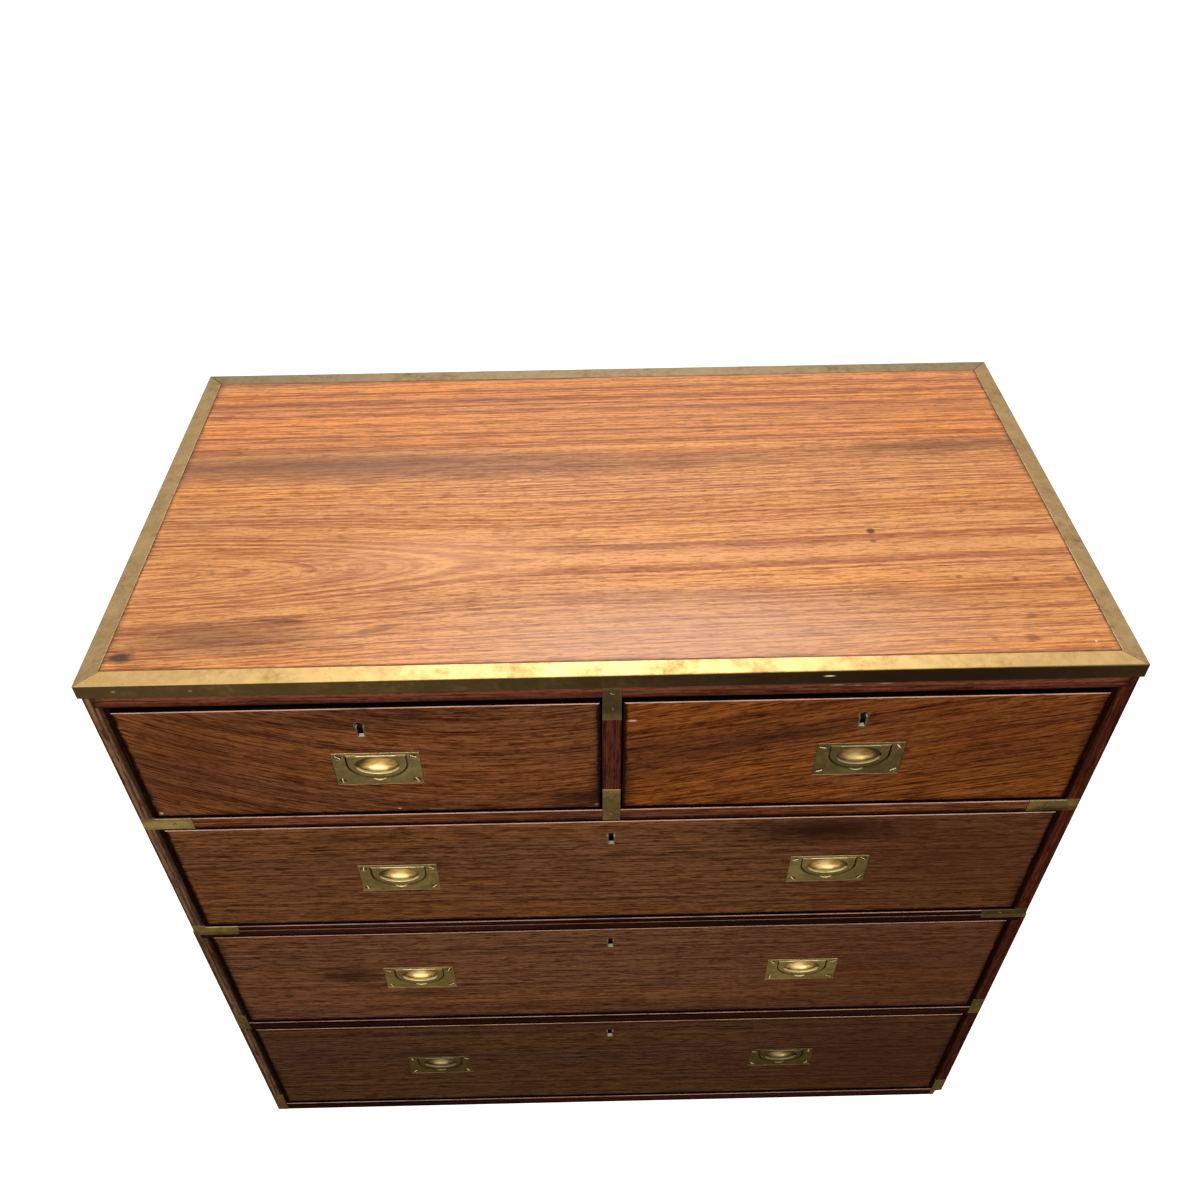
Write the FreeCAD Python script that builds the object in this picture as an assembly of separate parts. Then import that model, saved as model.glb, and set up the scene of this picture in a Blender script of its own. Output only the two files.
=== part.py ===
import FreeCAD, Part
import math
import os

# Campaign chest in two stacking cases: two short drawers over one long drawer in the upper case,
# two long drawers in the lower case. Millimetres, +Z up, X to the right, front towards -Y,
# origin at the centre of the base.

V = FreeCAD.Vector
X_AXIS, Y_AXIS, Z_AXIS = V(1, 0, 0), V(0, 1, 0), V(0, 0, 1)

# ---------------------------------------------------------------- driving dimensions: the carcass
overall_width = 1000.0          # over the brass edging
overall_depth = 525.0           # over the brass edging
side_thickness = 15.5           # side boards, whose front edges are the stiles
lower_proud = 1.5               # the lower case stands out this far past the upper, each side
top_board_thickness = 17.0
top_rail_height = 17.0
drawer_rail_height = 18.0       # rail between the short drawers and the long one
upper_bottom_thickness = 9.5
lower_top_thickness = 14.0
lower_rail_height = 20.0
base_board_thickness = 19.0
rail_depth = 60.0               # front to back
housing_depth = 8.0             # how far boards and rails run into the sides
back_thickness = 10.0
back_rebate = 8.0
runner_width = 50.0
centre_runner_width = 120.0
runner_housing = 6.0
stile_width = 18.7
stile_tenon = 7.0
stile_tenon_thickness = 8.0
partition_thickness = 12.0

# drawer openings, from the floor up
bottom_opening = 243.0
third_opening = 224.0
second_opening = 202.5
top_opening = 181.0

# ---------------------------------------------------------------- driving dimensions: the drawers
front_thickness = 20.0
drawer_recess = 3.0             # drawer fronts sit this far behind the stiles
front_arris = 2.2               # rounded edge round each drawer front
side_gap = 2.0
bottom_gap = 0.3
top_gap_short = 11.0            # worn, sunk drawers show a wide joint above
top_gap_second = 7.0
top_gap_third = 5.5
top_gap_bottom = 6.5
drawer_side_thickness = 10.0
drawer_back_thickness = 10.0
drawer_side_drop = 3.0          # the sides stop this far below the front's top edge
drawer_back_gap = 0.5           # drawer's back end to the back panel: this is the stop
bottom_panel_thickness = 7.0
bottom_panel_lift = 9.0
side_groove = 6.0
front_groove = 8.0
dovetail_pitch = 50.0
dovetail_length = 14.0          # lap dovetails into the front
dovetail_flare = 2.4
dovetail_share = 0.36           # half height of a tail's root as a share of the pitch

# ---------------------------------------------------------------- driving dimensions: the brass
edging_thickness = 2.5
edging_flange = 19.0            # width seen from above
strap_thickness = 1.6
strap_wrap = 55.0               # along the side, round the corner
strap_arm = 54.0                # along the rail, from the side's outer face
rail_strap_rise = 2.0           # the stile part stands this much above the rail
case_strap_upper = 13.5         # height of the upper case's strap above the joint
case_strap_lower = 6.5          # height of the lower case's strap below the joint
stile_strap_top = 50.0          # centre stile strap, from the edging down
stile_strap_bottom = 35.5       # centre stile strap, above the rail
lower_rail_strap_height = 38.0
lower_rail_strap_lift = 3.0     # above the underside of the lower rail
foot_strap_height = 51.0
chip_width = 10.0               # broken corner of the right foot
chip_height = 15.0
chip_depth = 12.0

# ---------------------------------------------------------------- driving dimensions: the handles
plate_width = 89.0
plate_height = 51.0
plate_thickness = 5.5
handle_spread = 486.0           # between the two handles of a long drawer
handle_shift_top_left = 9.0     # the handles were let in by eye, a little right of each drawer's middle
handle_shift_top_right = 5.0
handle_shift_second = 3.2
handle_shift_third = 0.6
handle_shift_bottom = 1.2
handle_lift_short = 75.2        # handle centre above the drawer front's lower edge
handle_lift_second = 94.0
handle_lift_third = 108.5
handle_lift_bottom = 115.0
bail_half_width = 30.0
bail_shoulder = 13.0            # straight sides, from the hinge line down
bail_bow = 22.0                 # depth of the rounded lower part
bail_corner = 14.0              # radius where the sides turn into the bow
bail_thickness = 3.0
bail_set_back = 0.4             # bail's face behind the plate's face
bail_clearance = 0.5
trunnion_radius = 1.45
trunnion_length = 3.0           # into the plate
trunnion_clearance = 0.05
knuckle_length = 10.0
hinge_set = 5.5                 # hinge line below the plate's top edge
eye_half_width = 22.3
eye_half_height = 13.2
eye_end_radius = 8.0
eye_drop = 15.5                 # eye's centre below the hinge line
bowl_wall = 1.6
bowl_half_width = 26.0
bowl_half_height = 15.0
bowl_end_radius = 12.0
bowl_depth = 9.5                # behind the bail's recess
bowl_slope = 9.5                # height of the dish's sloping side
bowl_slope_inset = 7.5
scoop_radius = 30.0             # thumb groove below the bail
scoop_depth = 1.5
scoop_reach = 4.2
plate_clearance = 0.1           # round the plate, in the drawer front
pocket_clearance = 1.0          # round the back of the bowl, in the drawer front

# ---------------------------------------------------------------- driving dimensions: the locks
key_drop = 32.0                 # keyhole centre below the drawer front's top edge
key_eye_radius = 4.4
key_slot_half_width = 2.9
key_half_height = 10.6
escutcheon_wall = 1.3
escutcheon_depth = 4.0
lock_width = 64.0
lock_height = 48.0
lock_depth = 10.0
selvage_thickness = 2.0
bolt_width = 26.0
bolt_thickness = 5.0
bolt_length = 20.0
bolt_clearance = 0.2
bolt_set = 4.0                  # bolt's middle in front of the drawer front's back face
bolt_throw = 14.0
mortise_clearance = 1.5

# ---------------------------------------------------------------- driving dimensions: the joint
peg_radius = 8.0
peg_rise = 8.0
peg_seat = 10.0
peg_chamfer = 2.0
peg_clearance = 0.08
peg_inset = 60.0                # from the inside of the case

# ---------------------------------------------------------------- derived sizes
upper_half = overall_width / 2 - edging_thickness
lower_half = upper_half + lower_proud
upper_inner = upper_half - side_thickness
lower_inner = lower_half - side_thickness
case_front = -(overall_depth / 2 - edging_thickness)
case_back = -case_front
panel_front = case_back - back_thickness
rail_back = case_front + rail_depth

bottom_floor = base_board_thickness
bottom_ceiling = bottom_floor + bottom_opening
third_floor = bottom_ceiling + lower_rail_height
third_ceiling = third_floor + third_opening
case_joint = third_ceiling + lower_top_thickness
second_floor = case_joint + upper_bottom_thickness
second_ceiling = second_floor + second_opening
top_floor = second_ceiling + drawer_rail_height
top_ceiling = top_floor + top_opening
side_top = top_ceiling + top_rail_height
overall_height = side_top + top_board_thickness

front_face = case_front + drawer_recess
front_back = front_face + front_thickness
drawer_end = panel_front - drawer_back_gap

hinge_depth = bail_set_back + bail_thickness / 2
recess_depth = bail_set_back + bail_thickness + bail_clearance
casting_depth = recess_depth + bowl_depth + bowl_wall


# ---------------------------------------------------------------- solids
def box(x0, x1, y0, y1, z0, z1):
    return Part.makeBox(x1 - x0, y1 - y0, z1 - z0, V(x0, y0, z0))


def prism(points, direction):
    """A flat polygon pushed along a vector."""
    return Part.Face(Part.makePolygon(points + [points[0]])).extrude(direction)


def fused(shapes):
    whole = shapes[0]
    if len(shapes) > 1:
        whole = whole.fuse(shapes[1:])
    return whole.removeSplitter()


def cut(shape, tools):
    return shape.cut(Part.makeCompound(tools)).removeSplitter()


def write(node, shapes):
    solids = [solid for shape in shapes for solid in shape.Solids]
    shape = solids[0] if len(solids) == 1 else Part.makeCompound(solids)
    shape.exportStep(os.path.join("parts", node + ".step"))


# ---------------------------------------------------------------- brass straps, let in flush
def corner_strap(hand, half, low, high, arm_low, arm_high):
    """Angle round a front corner, with an arm along the rail where arm_high is above arm_low."""
    outer = hand * half
    inner = hand * (half - side_thickness)
    skin = hand * (half - strap_thickness)
    y0, y1 = case_front, case_front + strap_thickness
    pieces = [
        box(min(outer, inner), max(outer, inner), y0, y1, low, high),
        box(min(outer, skin), max(outer, skin), y0, y0 + strap_wrap, low, high),
    ]
    if arm_high > arm_low:
        end = hand * (half - strap_arm)
        pieces.append(box(min(outer, end), max(outer, end), y0, y1, arm_low, arm_high))
    return fused(pieces)


def foot_chip():
    """The broken front corner of the right foot."""
    inner = lower_half - chip_width
    outer = lower_half + 1
    y = case_front - 1
    points = [V(inner, y, -1), V(outer, y, -1), V(outer, y, chip_height + 1), V(inner + 1, y, chip_height - 2)]
    return prism(points, V(0, chip_depth + 1, 0))


def stile_straps():
    half = stile_width / 2
    y0, y1 = case_front, case_front + strap_thickness
    edging_foot = side_top
    upper = box(-half, half, y0, y1, edging_foot - stile_strap_top, edging_foot)
    lower = box(-half, half, y0, y1, second_ceiling, top_floor + stile_strap_bottom)
    return [upper, lower]


def upper_straps():
    straps = []
    for hand in (-1, 1):
        straps.append(corner_strap(hand, upper_half, second_ceiling, top_floor + rail_strap_rise,
                                   second_ceiling, top_floor))
        straps.append(corner_strap(hand, upper_half, case_joint, case_joint + case_strap_upper,
                                   case_joint, second_floor))
    return straps + stile_straps()


def lower_straps():
    straps = []
    rail_strap_low = bottom_ceiling + lower_rail_strap_lift
    for hand in (-1, 1):
        joint_low = case_joint - case_strap_lower
        straps.append(corner_strap(hand, lower_half, joint_low, case_joint, joint_low, case_joint))
        straps.append(corner_strap(hand, lower_half, rail_strap_low,
                                   rail_strap_low + lower_rail_strap_height, 0, 0))
        foot = corner_strap(hand, lower_half, 0, foot_strap_height, 0, 0)
        straps.append(cut(foot, [foot_chip()]) if hand > 0 else foot)
    return straps


# ---------------------------------------------------------------- brass edging round the top
def edging_strip(length, turn, reach):
    """One mitred angle: a vertical flange and a flange lying in the top's rebate."""
    half = length / 2
    profile = [
        V(-half, -reach, side_top), V(-half, -reach, overall_height),
        V(-half, -reach + edging_flange, overall_height),
        V(-half, -reach + edging_flange, overall_height - edging_thickness),
        V(-half, -reach + edging_thickness, overall_height - edging_thickness),
        V(-half, -reach + edging_thickness, side_top),
    ]
    angle = prism(profile, V(length, 0, 0))
    corner = 2 * edging_flange
    for hand in (-1, 1):
        mitre = prism([V(hand * (half + 1), -reach - 1, side_top - 1),
                       V(hand * (half + 1), -reach + corner, side_top - 1),
                       V(hand * (half - corner), -reach + corner, side_top - 1)],
                      V(0, 0, top_board_thickness + 2))
        angle = angle.cut(mitre)
    angle.rotate(V(0, 0, 0), Z_AXIS, turn)
    return angle


def top_edging():
    return [edging_strip(overall_width, 0, overall_depth / 2),
            edging_strip(overall_depth, 90, overall_width / 2),
            edging_strip(overall_width, 180, overall_depth / 2),
            edging_strip(overall_depth, 270, overall_width / 2)]


# ---------------------------------------------------------------- boards of the two cases
def top_board():
    """Full board with a rebate all round, so that the brass lies flush with the wood."""
    board = box(-upper_half, upper_half, case_front, case_back, side_top, overall_height - edging_thickness)
    field_x = overall_width / 2 - edging_flange
    field_y = overall_depth / 2 - edging_flange
    field = box(-field_x, field_x, -field_y, field_y, overall_height - edging_thickness, overall_height)
    return fused([board, field])


def cross_board(inner, y1, z0, z1):
    """A board or rail housed into both sides."""
    reach = inner + housing_depth
    return box(-reach, reach, case_front, y1, z0, z1)


def back_panel(inner, z0, z1):
    reach = inner + back_rebate
    return box(-reach, reach, panel_front, case_back, z0, z1)


def side_runner(hand, inner, z0, z1):
    outer = hand * (inner + runner_housing)
    edge = hand * (inner - runner_width)
    return box(min(outer, edge), max(outer, edge), rail_back, panel_front, z0, z1)


def side_board(hand, half, z0, z1, housed):
    outer, inner = hand * half, hand * (half - side_thickness)
    board = box(min(outer, inner), max(outer, inner), case_front, case_back, z0, z1)
    return cut(board, housed)


def centre_stile():
    """Post between the short drawers, with a stub tenon top and bottom."""
    half = stile_width / 2
    middle = (case_front + rail_back) / 2
    post = box(-half, half, case_front, rail_back, top_floor, top_ceiling)
    tenon = box(-half, half, middle - stile_tenon_thickness, middle + stile_tenon_thickness,
                top_floor - stile_tenon, top_ceiling + stile_tenon)
    return fused([post, tenon])


def peg(x, y):
    """Turned oak peg with a bevelled nose, standing up out of the lower case."""
    low, high = case_joint - peg_seat, case_joint + peg_rise
    nose = peg_radius - peg_chamfer
    profile = [V(0, 0, low), V(peg_radius, 0, low), V(peg_radius, 0, high - peg_chamfer),
               V(nose, 0, high), V(0, 0, high)]
    face = Part.Face(Part.makePolygon(profile + [profile[0]]))
    turned = face.revolve(V(0, 0, 0), Z_AXIS, 360)
    turned.translate(V(x, y, 0))
    return turned


def peg_places():
    """One near each side, far enough forward to clear the mortises in the rails."""
    return [(hand * (upper_inner - peg_inset), 0.0) for hand in (-1, 1)]


# ---------------------------------------------------------------- flush handles
def arc(centre_x, centre_z, radius, y, first, last):
    """Circular edge in a plane facing front, by angles in degrees from +X towards +Z."""
    def at(angle):
        turn = math.radians(angle)
        return V(centre_x + radius * math.cos(turn), y, centre_z + radius * math.sin(turn))
    return Part.Arc(at(first), at((first + last) / 2), at(last)).toShape()


def d_face(x, y, top, half_width, shoulder, bow, corner):
    """D outline facing front: straight top and sides, and a three-centred bow below."""
    spring = top - shoulder
    reach = half_width - corner
    rise = (reach ** 2 - (bow - corner) ** 2) / (2 * (bow - corner))
    split = math.degrees(math.atan2(rise, reach))
    left, right = x - half_width, x + half_width
    sides = Part.makePolygon([V(left, y, spring), V(left, y, top), V(right, y, top), V(right, y, spring)])
    bows = [arc(x + reach, spring, corner, y, 0, -split),
            arc(x, spring + rise, rise + bow, y, -split, split - 180),
            arc(x - reach, spring, corner, y, split - 180, -180)]
    return Part.Face(Part.Wire(sides.Edges + bows))


def oval_face(x, y, z, half_width, half_height, end_radius):
    """Four-centred oval facing front."""
    reach = half_width - end_radius
    flat_radius = (reach ** 2 + half_height ** 2 - end_radius ** 2) / (2 * (half_height - end_radius))
    drop = flat_radius - half_height
    split = math.degrees(math.atan2(drop, reach))
    arcs = [arc(x + reach, z, end_radius, y, -split, split),
            arc(x, z - drop, flat_radius, y, split, 180 - split),
            arc(x - reach, z, end_radius, y, 180 - split, 180 + split),
            arc(x, z + drop, flat_radius, y, 180 + split, 360 - split)]
    return Part.Face(Part.Wire(arcs))


def hinge_line(z):
    """Height of a handle's hinge, from the height of its plate's centre."""
    return z + plate_height / 2 - hinge_set


def trunnions(x, z, radius):
    """Rod on the hinge line, from end to end of the two trunnions."""
    reach = bail_half_width + trunnion_length
    start = V(x - reach, front_face + hinge_depth, hinge_line(z))
    return Part.makeCylinder(radius, 2 * reach, start, X_AXIS)


def bail_recess(x, z):
    """Space the bail needs in the face of the plate."""
    rise = bail_thickness / 2 + bail_clearance
    face = d_face(x, front_face - 1, hinge_line(z) + rise, bail_half_width + bail_clearance,
                  rise + bail_shoulder, bail_bow + bail_clearance, bail_corner + bail_clearance)
    return face.extrude(V(0, recess_depth + 1, 0))


def bowl(x, z):
    """Dished hollow behind the bail: an oval that slopes in to a flat floor."""
    mouth = oval_face(x, front_face, hinge_line(z) - eye_drop, bowl_half_width, bowl_half_height,
                      bowl_end_radius)
    dish = mouth.extrude(V(0, recess_depth + bowl_depth, 0))
    floor = dish.BoundBox.YMax - 0.01
    rim = [edge for edge in dish.Edges if all(vertex.Point.y > floor for vertex in edge.Vertexes)]
    return dish.makeChamfer(bowl_slope, bowl_slope_inset, rim)


def casting(x, z):
    """Outside of the cast plate, with the back of its bowl."""
    hw, hh = plate_width / 2, plate_height / 2
    plate = box(x - hw, x + hw, front_face, front_face + plate_thickness, z - hh, z + hh)
    bowl_back = oval_face(x, front_face, hinge_line(z) - eye_drop, bowl_half_width + bowl_wall,
                          bowl_half_height + bowl_wall, bowl_end_radius + bowl_wall)
    return fused([plate, bowl_back.extrude(V(0, casting_depth, 0))])


def handle_pocket(x, z):
    """Rebate for the plate and a chiselled pocket for the back of its bowl."""
    hw, hh = plate_width / 2 + plate_clearance, plate_height / 2 + plate_clearance
    rebate = box(x - hw, x + hw, front_face - 1, front_face + plate_thickness, z - hh, z + hh)
    half = bowl_half_width + bowl_wall + pocket_clearance
    drop = bowl_half_height + bowl_wall + pocket_clearance
    grip = hinge_line(z) - eye_drop
    pocket = box(x - half, x + half, front_face, front_face + casting_depth + pocket_clearance,
                 grip - drop, grip + drop)
    return fused([rebate, pocket])


def thumb_scoop(x, z):
    """Shallow scoop under the bail's lower edge, to get a nail behind it."""
    bail_foot = hinge_line(z) - bail_shoulder - bail_bow
    rim = math.sqrt(scoop_radius ** 2 - (scoop_radius - scoop_depth) ** 2)
    centre = V(x, front_face - scoop_radius + scoop_depth, bail_foot - scoop_reach + rim)
    return Part.makeSphere(scoop_radius, centre)


def handle_plate(x, z):
    hollows = [bail_recess(x, z), bowl(x, z), thumb_scoop(x, z),
               trunnions(x, z, trunnion_radius + trunnion_clearance)]
    return cut(casting(x, z), hollows)


def bail(x, z):
    """Flat D-shaped pull with an oval eye and two knuckles that end in trunnions."""
    hinge = hinge_line(z)
    y = front_face + bail_set_back
    flat = d_face(x, y, hinge, bail_half_width, bail_shoulder, bail_bow, bail_corner)
    eye = oval_face(x, y - 1, hinge - eye_drop, eye_half_width, eye_half_height, eye_end_radius)
    ring = cut(flat.extrude(V(0, bail_thickness, 0)), [eye.extrude(V(0, bail_thickness + 2, 0))])
    inside = bail_half_width - knuckle_length
    gap = box(x - inside, x + inside, front_face - 5, front_back, hinge - 5, hinge + 5)
    return fused([ring, trunnions(x, z, trunnion_radius).cut(gap)])


# ---------------------------------------------------------------- locks
def keyhole(x, z, y0, y1, margin):
    """Keyhole outline: a round eye over a square-ended slot."""
    slot = key_slot_half_width + margin
    eye_z = z + key_half_height - key_eye_radius
    eye = Part.makeCylinder(key_eye_radius + margin, y1 - y0, V(x, y0, eye_z), Y_AXIS)
    return fused([eye, box(x - slot, x + slot, y0, y1, z - key_half_height - margin, eye_z)])


def escutcheon(x, z):
    ring = keyhole(x, z, front_face, front_face + escutcheon_depth, escutcheon_wall)
    return cut(ring, [keyhole(x, z, front_face - 1, front_face + escutcheon_depth + 1, 0)])


def lock_blank(x, top):
    """Outside of the lock: case let into the back of the drawer front, selvage in its top edge."""
    half = lock_width / 2
    case = box(x - half + 3, x + half - 3, front_back - lock_depth, front_back, top - lock_height, top - 1)
    cap = box(x - half, x + half, front_back - selvage_thickness, front_back, top - lock_height - 3, top)
    selvage = box(x - half, x + half, front_back - lock_depth - 1, front_back, top - selvage_thickness, top)
    return fused([case, cap, selvage])


def bolt(x, top, clearance):
    half, thick = bolt_width / 2 + clearance, bolt_thickness / 2 + clearance
    y = front_back - bolt_set
    foot = top - bolt_length - clearance
    return box(x - half, x + half, y - thick, y + thick, foot, top + (1 if clearance else 0))


def lock(x, top):
    return cut(lock_blank(x, top), [bolt(x, top, bolt_clearance)])


def bolt_mortise(x, ceiling, top_gap):
    """Slot in the rail above a drawer that the raised bolt enters."""
    half, thick = bolt_width / 2 + mortise_clearance, bolt_thickness / 2 + mortise_clearance
    y = front_back - bolt_set
    depth = bolt_throw - top_gap + mortise_clearance
    return box(x - half, x + half, y - thick, y + thick, ceiling - 1, ceiling + depth)


# ---------------------------------------------------------------- drawers
def dovetails(x0, x1, y_root, y_end, z0, z1):
    """A row of tails on a drawer side, wider at the end than at the root."""
    count = max(2, int(round((z1 - z0) / dovetail_pitch)))
    pitch = (z1 - z0) / count
    tails = []
    for index in range(count):
        middle = z0 + (index + 0.5) * pitch
        root = dovetail_share * pitch
        end = root + dovetail_flare
        tails.append(prism([V(x0, y_root, middle - root), V(x0, y_end, middle - end),
                            V(x0, y_end, middle + end), V(x0, y_root, middle + root)],
                           V(x1 - x0, 0, 0)))
    return tails


class Drawer:
    """Named sizes of one drawer: where its front stands and what is fixed to it."""

    def __init__(self, name, left, right, floor, ceiling, top_gap, handles, handle_lift):
        self.name = name
        self.left, self.right = left + side_gap, right - side_gap
        self.low, self.high = floor + bottom_gap, ceiling - top_gap
        self.ceiling, self.top_gap = ceiling, top_gap
        self.centre = (left + right) / 2
        self.handles = [self.centre + offset for offset in handles]
        self.handle_z = self.low + handle_lift
        self.key_z = self.high - key_drop

    def panel(self):
        inner = drawer_side_thickness - side_groove
        low = self.low + bottom_panel_lift
        return box(self.left + inner, self.right - inner, front_back - front_groove, drawer_end,
                   low, low + bottom_panel_thickness)

    def side(self, hand):
        outer = self.left if hand < 0 else self.right
        inner = outer - hand * drawer_side_thickness
        x0, x1 = min(outer, inner), max(outer, inner)
        top = self.high - drawer_side_drop
        back_face = drawer_end - drawer_back_thickness
        board = box(x0, x1, front_back, back_face, self.low, top)
        front_tails = dovetails(x0, x1, front_back, front_back - dovetail_length, self.low, top)
        back_tails = dovetails(x0, x1, back_face, drawer_end, self.low, top)
        return fused([board] + front_tails + back_tails)

    def sides(self):
        return [cut(self.side(hand), [self.panel()]) for hand in (-1, 1)]

    def back(self):
        panel_top = self.low + bottom_panel_lift + bottom_panel_thickness
        board = box(self.left, self.right, drawer_end - drawer_back_thickness, drawer_end,
                    panel_top, self.high - drawer_side_drop)
        return cut(board, [self.side(-1), self.side(1)])

    def front(self):
        board = box(self.left, self.right, front_face, front_back, self.low, self.high)
        rim = [edge for edge in board.Edges
               if all(abs(vertex.Point.y - front_face) < 0.01 for vertex in edge.Vertexes)]
        board = board.makeFillet(front_arris, rim)
        housings = [handle_pocket(x, self.handle_z) for x in self.handles]
        keyway = keyhole(self.centre, self.key_z, front_face - 1, front_back - 1, escutcheon_wall)
        fittings = [lock_blank(self.centre, self.high), keyway]
        return cut(board, [self.side(-1), self.side(1), self.panel()] + housings + fittings)

    def export(self):
        write("drawer_" + self.name + "_front", [self.front()])
        write("drawer_" + self.name + "_sides_and_back", self.sides() + [self.back()])
        write("drawer_" + self.name + "_bottom", [self.panel()])
        write("drawer_" + self.name + "_handle_plates",
              [handle_plate(x, self.handle_z) for x in self.handles])
        write("drawer_" + self.name + "_lock",
              [lock(self.centre, self.high), escutcheon(self.centre, self.key_z)])
        write("drawer_" + self.name + "_lock_bolt", [bolt(self.centre, self.high, 0)])
        for x, place in zip(self.handles, ("left", "right")):
            label = "_bail" if len(self.handles) == 1 else "_bail_" + place
            write("drawer_" + self.name + label, [bail(x, self.handle_z)])


def handle_pair(shift):
    """Places of a long drawer's two handles, from its middle."""
    return (shift - handle_spread / 2, shift + handle_spread / 2)


half_stile = stile_width / 2
drawers = {
    "top_left": Drawer("top_left", -upper_inner, -half_stile, top_floor, top_ceiling,
                       top_gap_short, (handle_shift_top_left,), handle_lift_short),
    "top_right": Drawer("top_right", half_stile, upper_inner, top_floor, top_ceiling,
                        top_gap_short, (handle_shift_top_right,), handle_lift_short),
    "second": Drawer("second", -upper_inner, upper_inner, second_floor, second_ceiling,
                     top_gap_second, handle_pair(handle_shift_second), handle_lift_second),
    "third": Drawer("third", -lower_inner, lower_inner, third_floor, third_ceiling,
                    top_gap_third, handle_pair(handle_shift_third), handle_lift_third),
    "bottom": Drawer("bottom", -lower_inner, lower_inner, bottom_floor, bottom_ceiling,
                     top_gap_bottom, handle_pair(handle_shift_bottom), handle_lift_bottom),
}


def mortises(*names):
    return [bolt_mortise(drawers[name].centre, drawers[name].ceiling, drawers[name].top_gap)
            for name in names]


# ---------------------------------------------------------------- the upper case
def build_upper_case():
    straps = upper_straps()
    stile = centre_stile()
    sockets = [Part.makeCylinder(peg_radius + peg_clearance, upper_bottom_thickness + 2,
                                 V(x, y, case_joint - 1), Z_AXIS) for x, y in peg_places()]
    top_rail = cross_board(upper_inner, rail_back, top_ceiling, side_top)
    drawer_rail = cross_board(upper_inner, rail_back, second_ceiling, top_floor)
    bottom = cross_board(upper_inner, panel_front, case_joint, second_floor)
    back = back_panel(upper_inner, case_joint, side_top)
    runners = [side_runner(hand, upper_inner, second_ceiling, top_floor) for hand in (-1, 1)]
    runners.append(box(-centre_runner_width / 2, centre_runner_width / 2, rail_back, panel_front,
                       second_ceiling, top_floor))
    partition = box(-partition_thickness / 2, partition_thickness / 2, rail_back, panel_front,
                    top_floor, side_top)
    housed = [top_rail, drawer_rail, bottom, back] + runners + straps
    write("upper_side_left", [side_board(-1, upper_half, case_joint, side_top, housed)])
    write("upper_side_right", [side_board(1, upper_half, case_joint, side_top, housed)])
    write("top_board", [top_board()])
    write("top_brass_edging", top_edging())
    write("top_rail", [cut(top_rail, [stile] + straps + mortises("top_left", "top_right"))])
    write("upper_drawer_rail", [cut(drawer_rail, [stile] + straps + mortises("second"))])
    write("centre_stile", [cut(stile, straps)])
    write("centre_partition", [partition])
    write("upper_bottom_board", [cut(bottom, sockets + straps)])
    write("upper_back_panel", [back])
    write("upper_runners", runners)
    write("upper_brass_straps", straps)


# ---------------------------------------------------------------- the lower case
def build_lower_case():
    straps = lower_straps()
    pegs = [peg(x, y) for x, y in peg_places()]
    top = cross_board(lower_inner, panel_front, third_ceiling, case_joint)
    rail = cross_board(lower_inner, rail_back, bottom_ceiling, third_floor)
    base = cross_board(lower_inner, panel_front, 0, base_board_thickness)
    back = back_panel(lower_inner, 0, case_joint)
    runners = [side_runner(hand, lower_inner, bottom_ceiling, third_floor) for hand in (-1, 1)]
    housed = [top, rail, base, back] + runners + straps
    chip = [foot_chip()]
    write("lower_side_left", [side_board(-1, lower_half, 0, case_joint, housed)])
    write("lower_side_right", [side_board(1, lower_half, 0, case_joint, housed + chip)])
    write("lower_top_board", [cut(top, pegs + straps + mortises("third"))])
    write("lower_drawer_rail", [cut(rail, straps + mortises("bottom"))])
    write("base_board", [cut(base, straps + chip)])
    write("lower_back_panel", [back])
    write("lower_runners", runners)
    write("lower_brass_straps", straps)
    write("locating_pegs", pegs)


os.makedirs("parts", exist_ok=True)
build_upper_case()
build_lower_case()
for drawer in drawers.values():
    drawer.export()
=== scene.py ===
import math

import bpy
from mathutils import Matrix, Vector


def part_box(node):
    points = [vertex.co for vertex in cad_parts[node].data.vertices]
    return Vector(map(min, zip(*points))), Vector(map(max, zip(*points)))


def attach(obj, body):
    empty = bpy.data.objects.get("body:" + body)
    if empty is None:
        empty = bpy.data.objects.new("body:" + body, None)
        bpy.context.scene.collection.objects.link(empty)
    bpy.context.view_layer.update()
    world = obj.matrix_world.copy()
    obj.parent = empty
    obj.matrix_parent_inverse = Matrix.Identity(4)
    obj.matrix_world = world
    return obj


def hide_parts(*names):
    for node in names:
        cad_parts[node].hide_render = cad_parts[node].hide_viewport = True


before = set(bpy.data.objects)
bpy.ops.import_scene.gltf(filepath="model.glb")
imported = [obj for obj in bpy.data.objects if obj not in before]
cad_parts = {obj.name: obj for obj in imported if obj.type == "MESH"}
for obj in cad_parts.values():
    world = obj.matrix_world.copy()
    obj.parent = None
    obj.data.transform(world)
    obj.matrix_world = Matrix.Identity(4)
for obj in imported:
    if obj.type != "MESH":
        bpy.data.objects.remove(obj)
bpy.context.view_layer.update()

mm = 0.001    # sizes in the dictionaries are in millimetres


def paint(red, green, blue):    # a colour as a screen shows it, 0 to 255
    def linear(level):
        level /= 255
        return level / 12.92 if level <= 0.04045 else ((level + 0.055) / 1.055) ** 2.4
    return (linear(red), linear(green), linear(blue), 1)


def scaled(values):
    return tuple(value * mm for value in values)


# camera, lights and floor
cameraView = {
    "place": (-26.9, -932.3, 1723.1),
    "turn": (49.10, 0.644, -0.993),
    "lens": 32.5,
    "shift": (0.0111, -0.0574),
}

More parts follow.
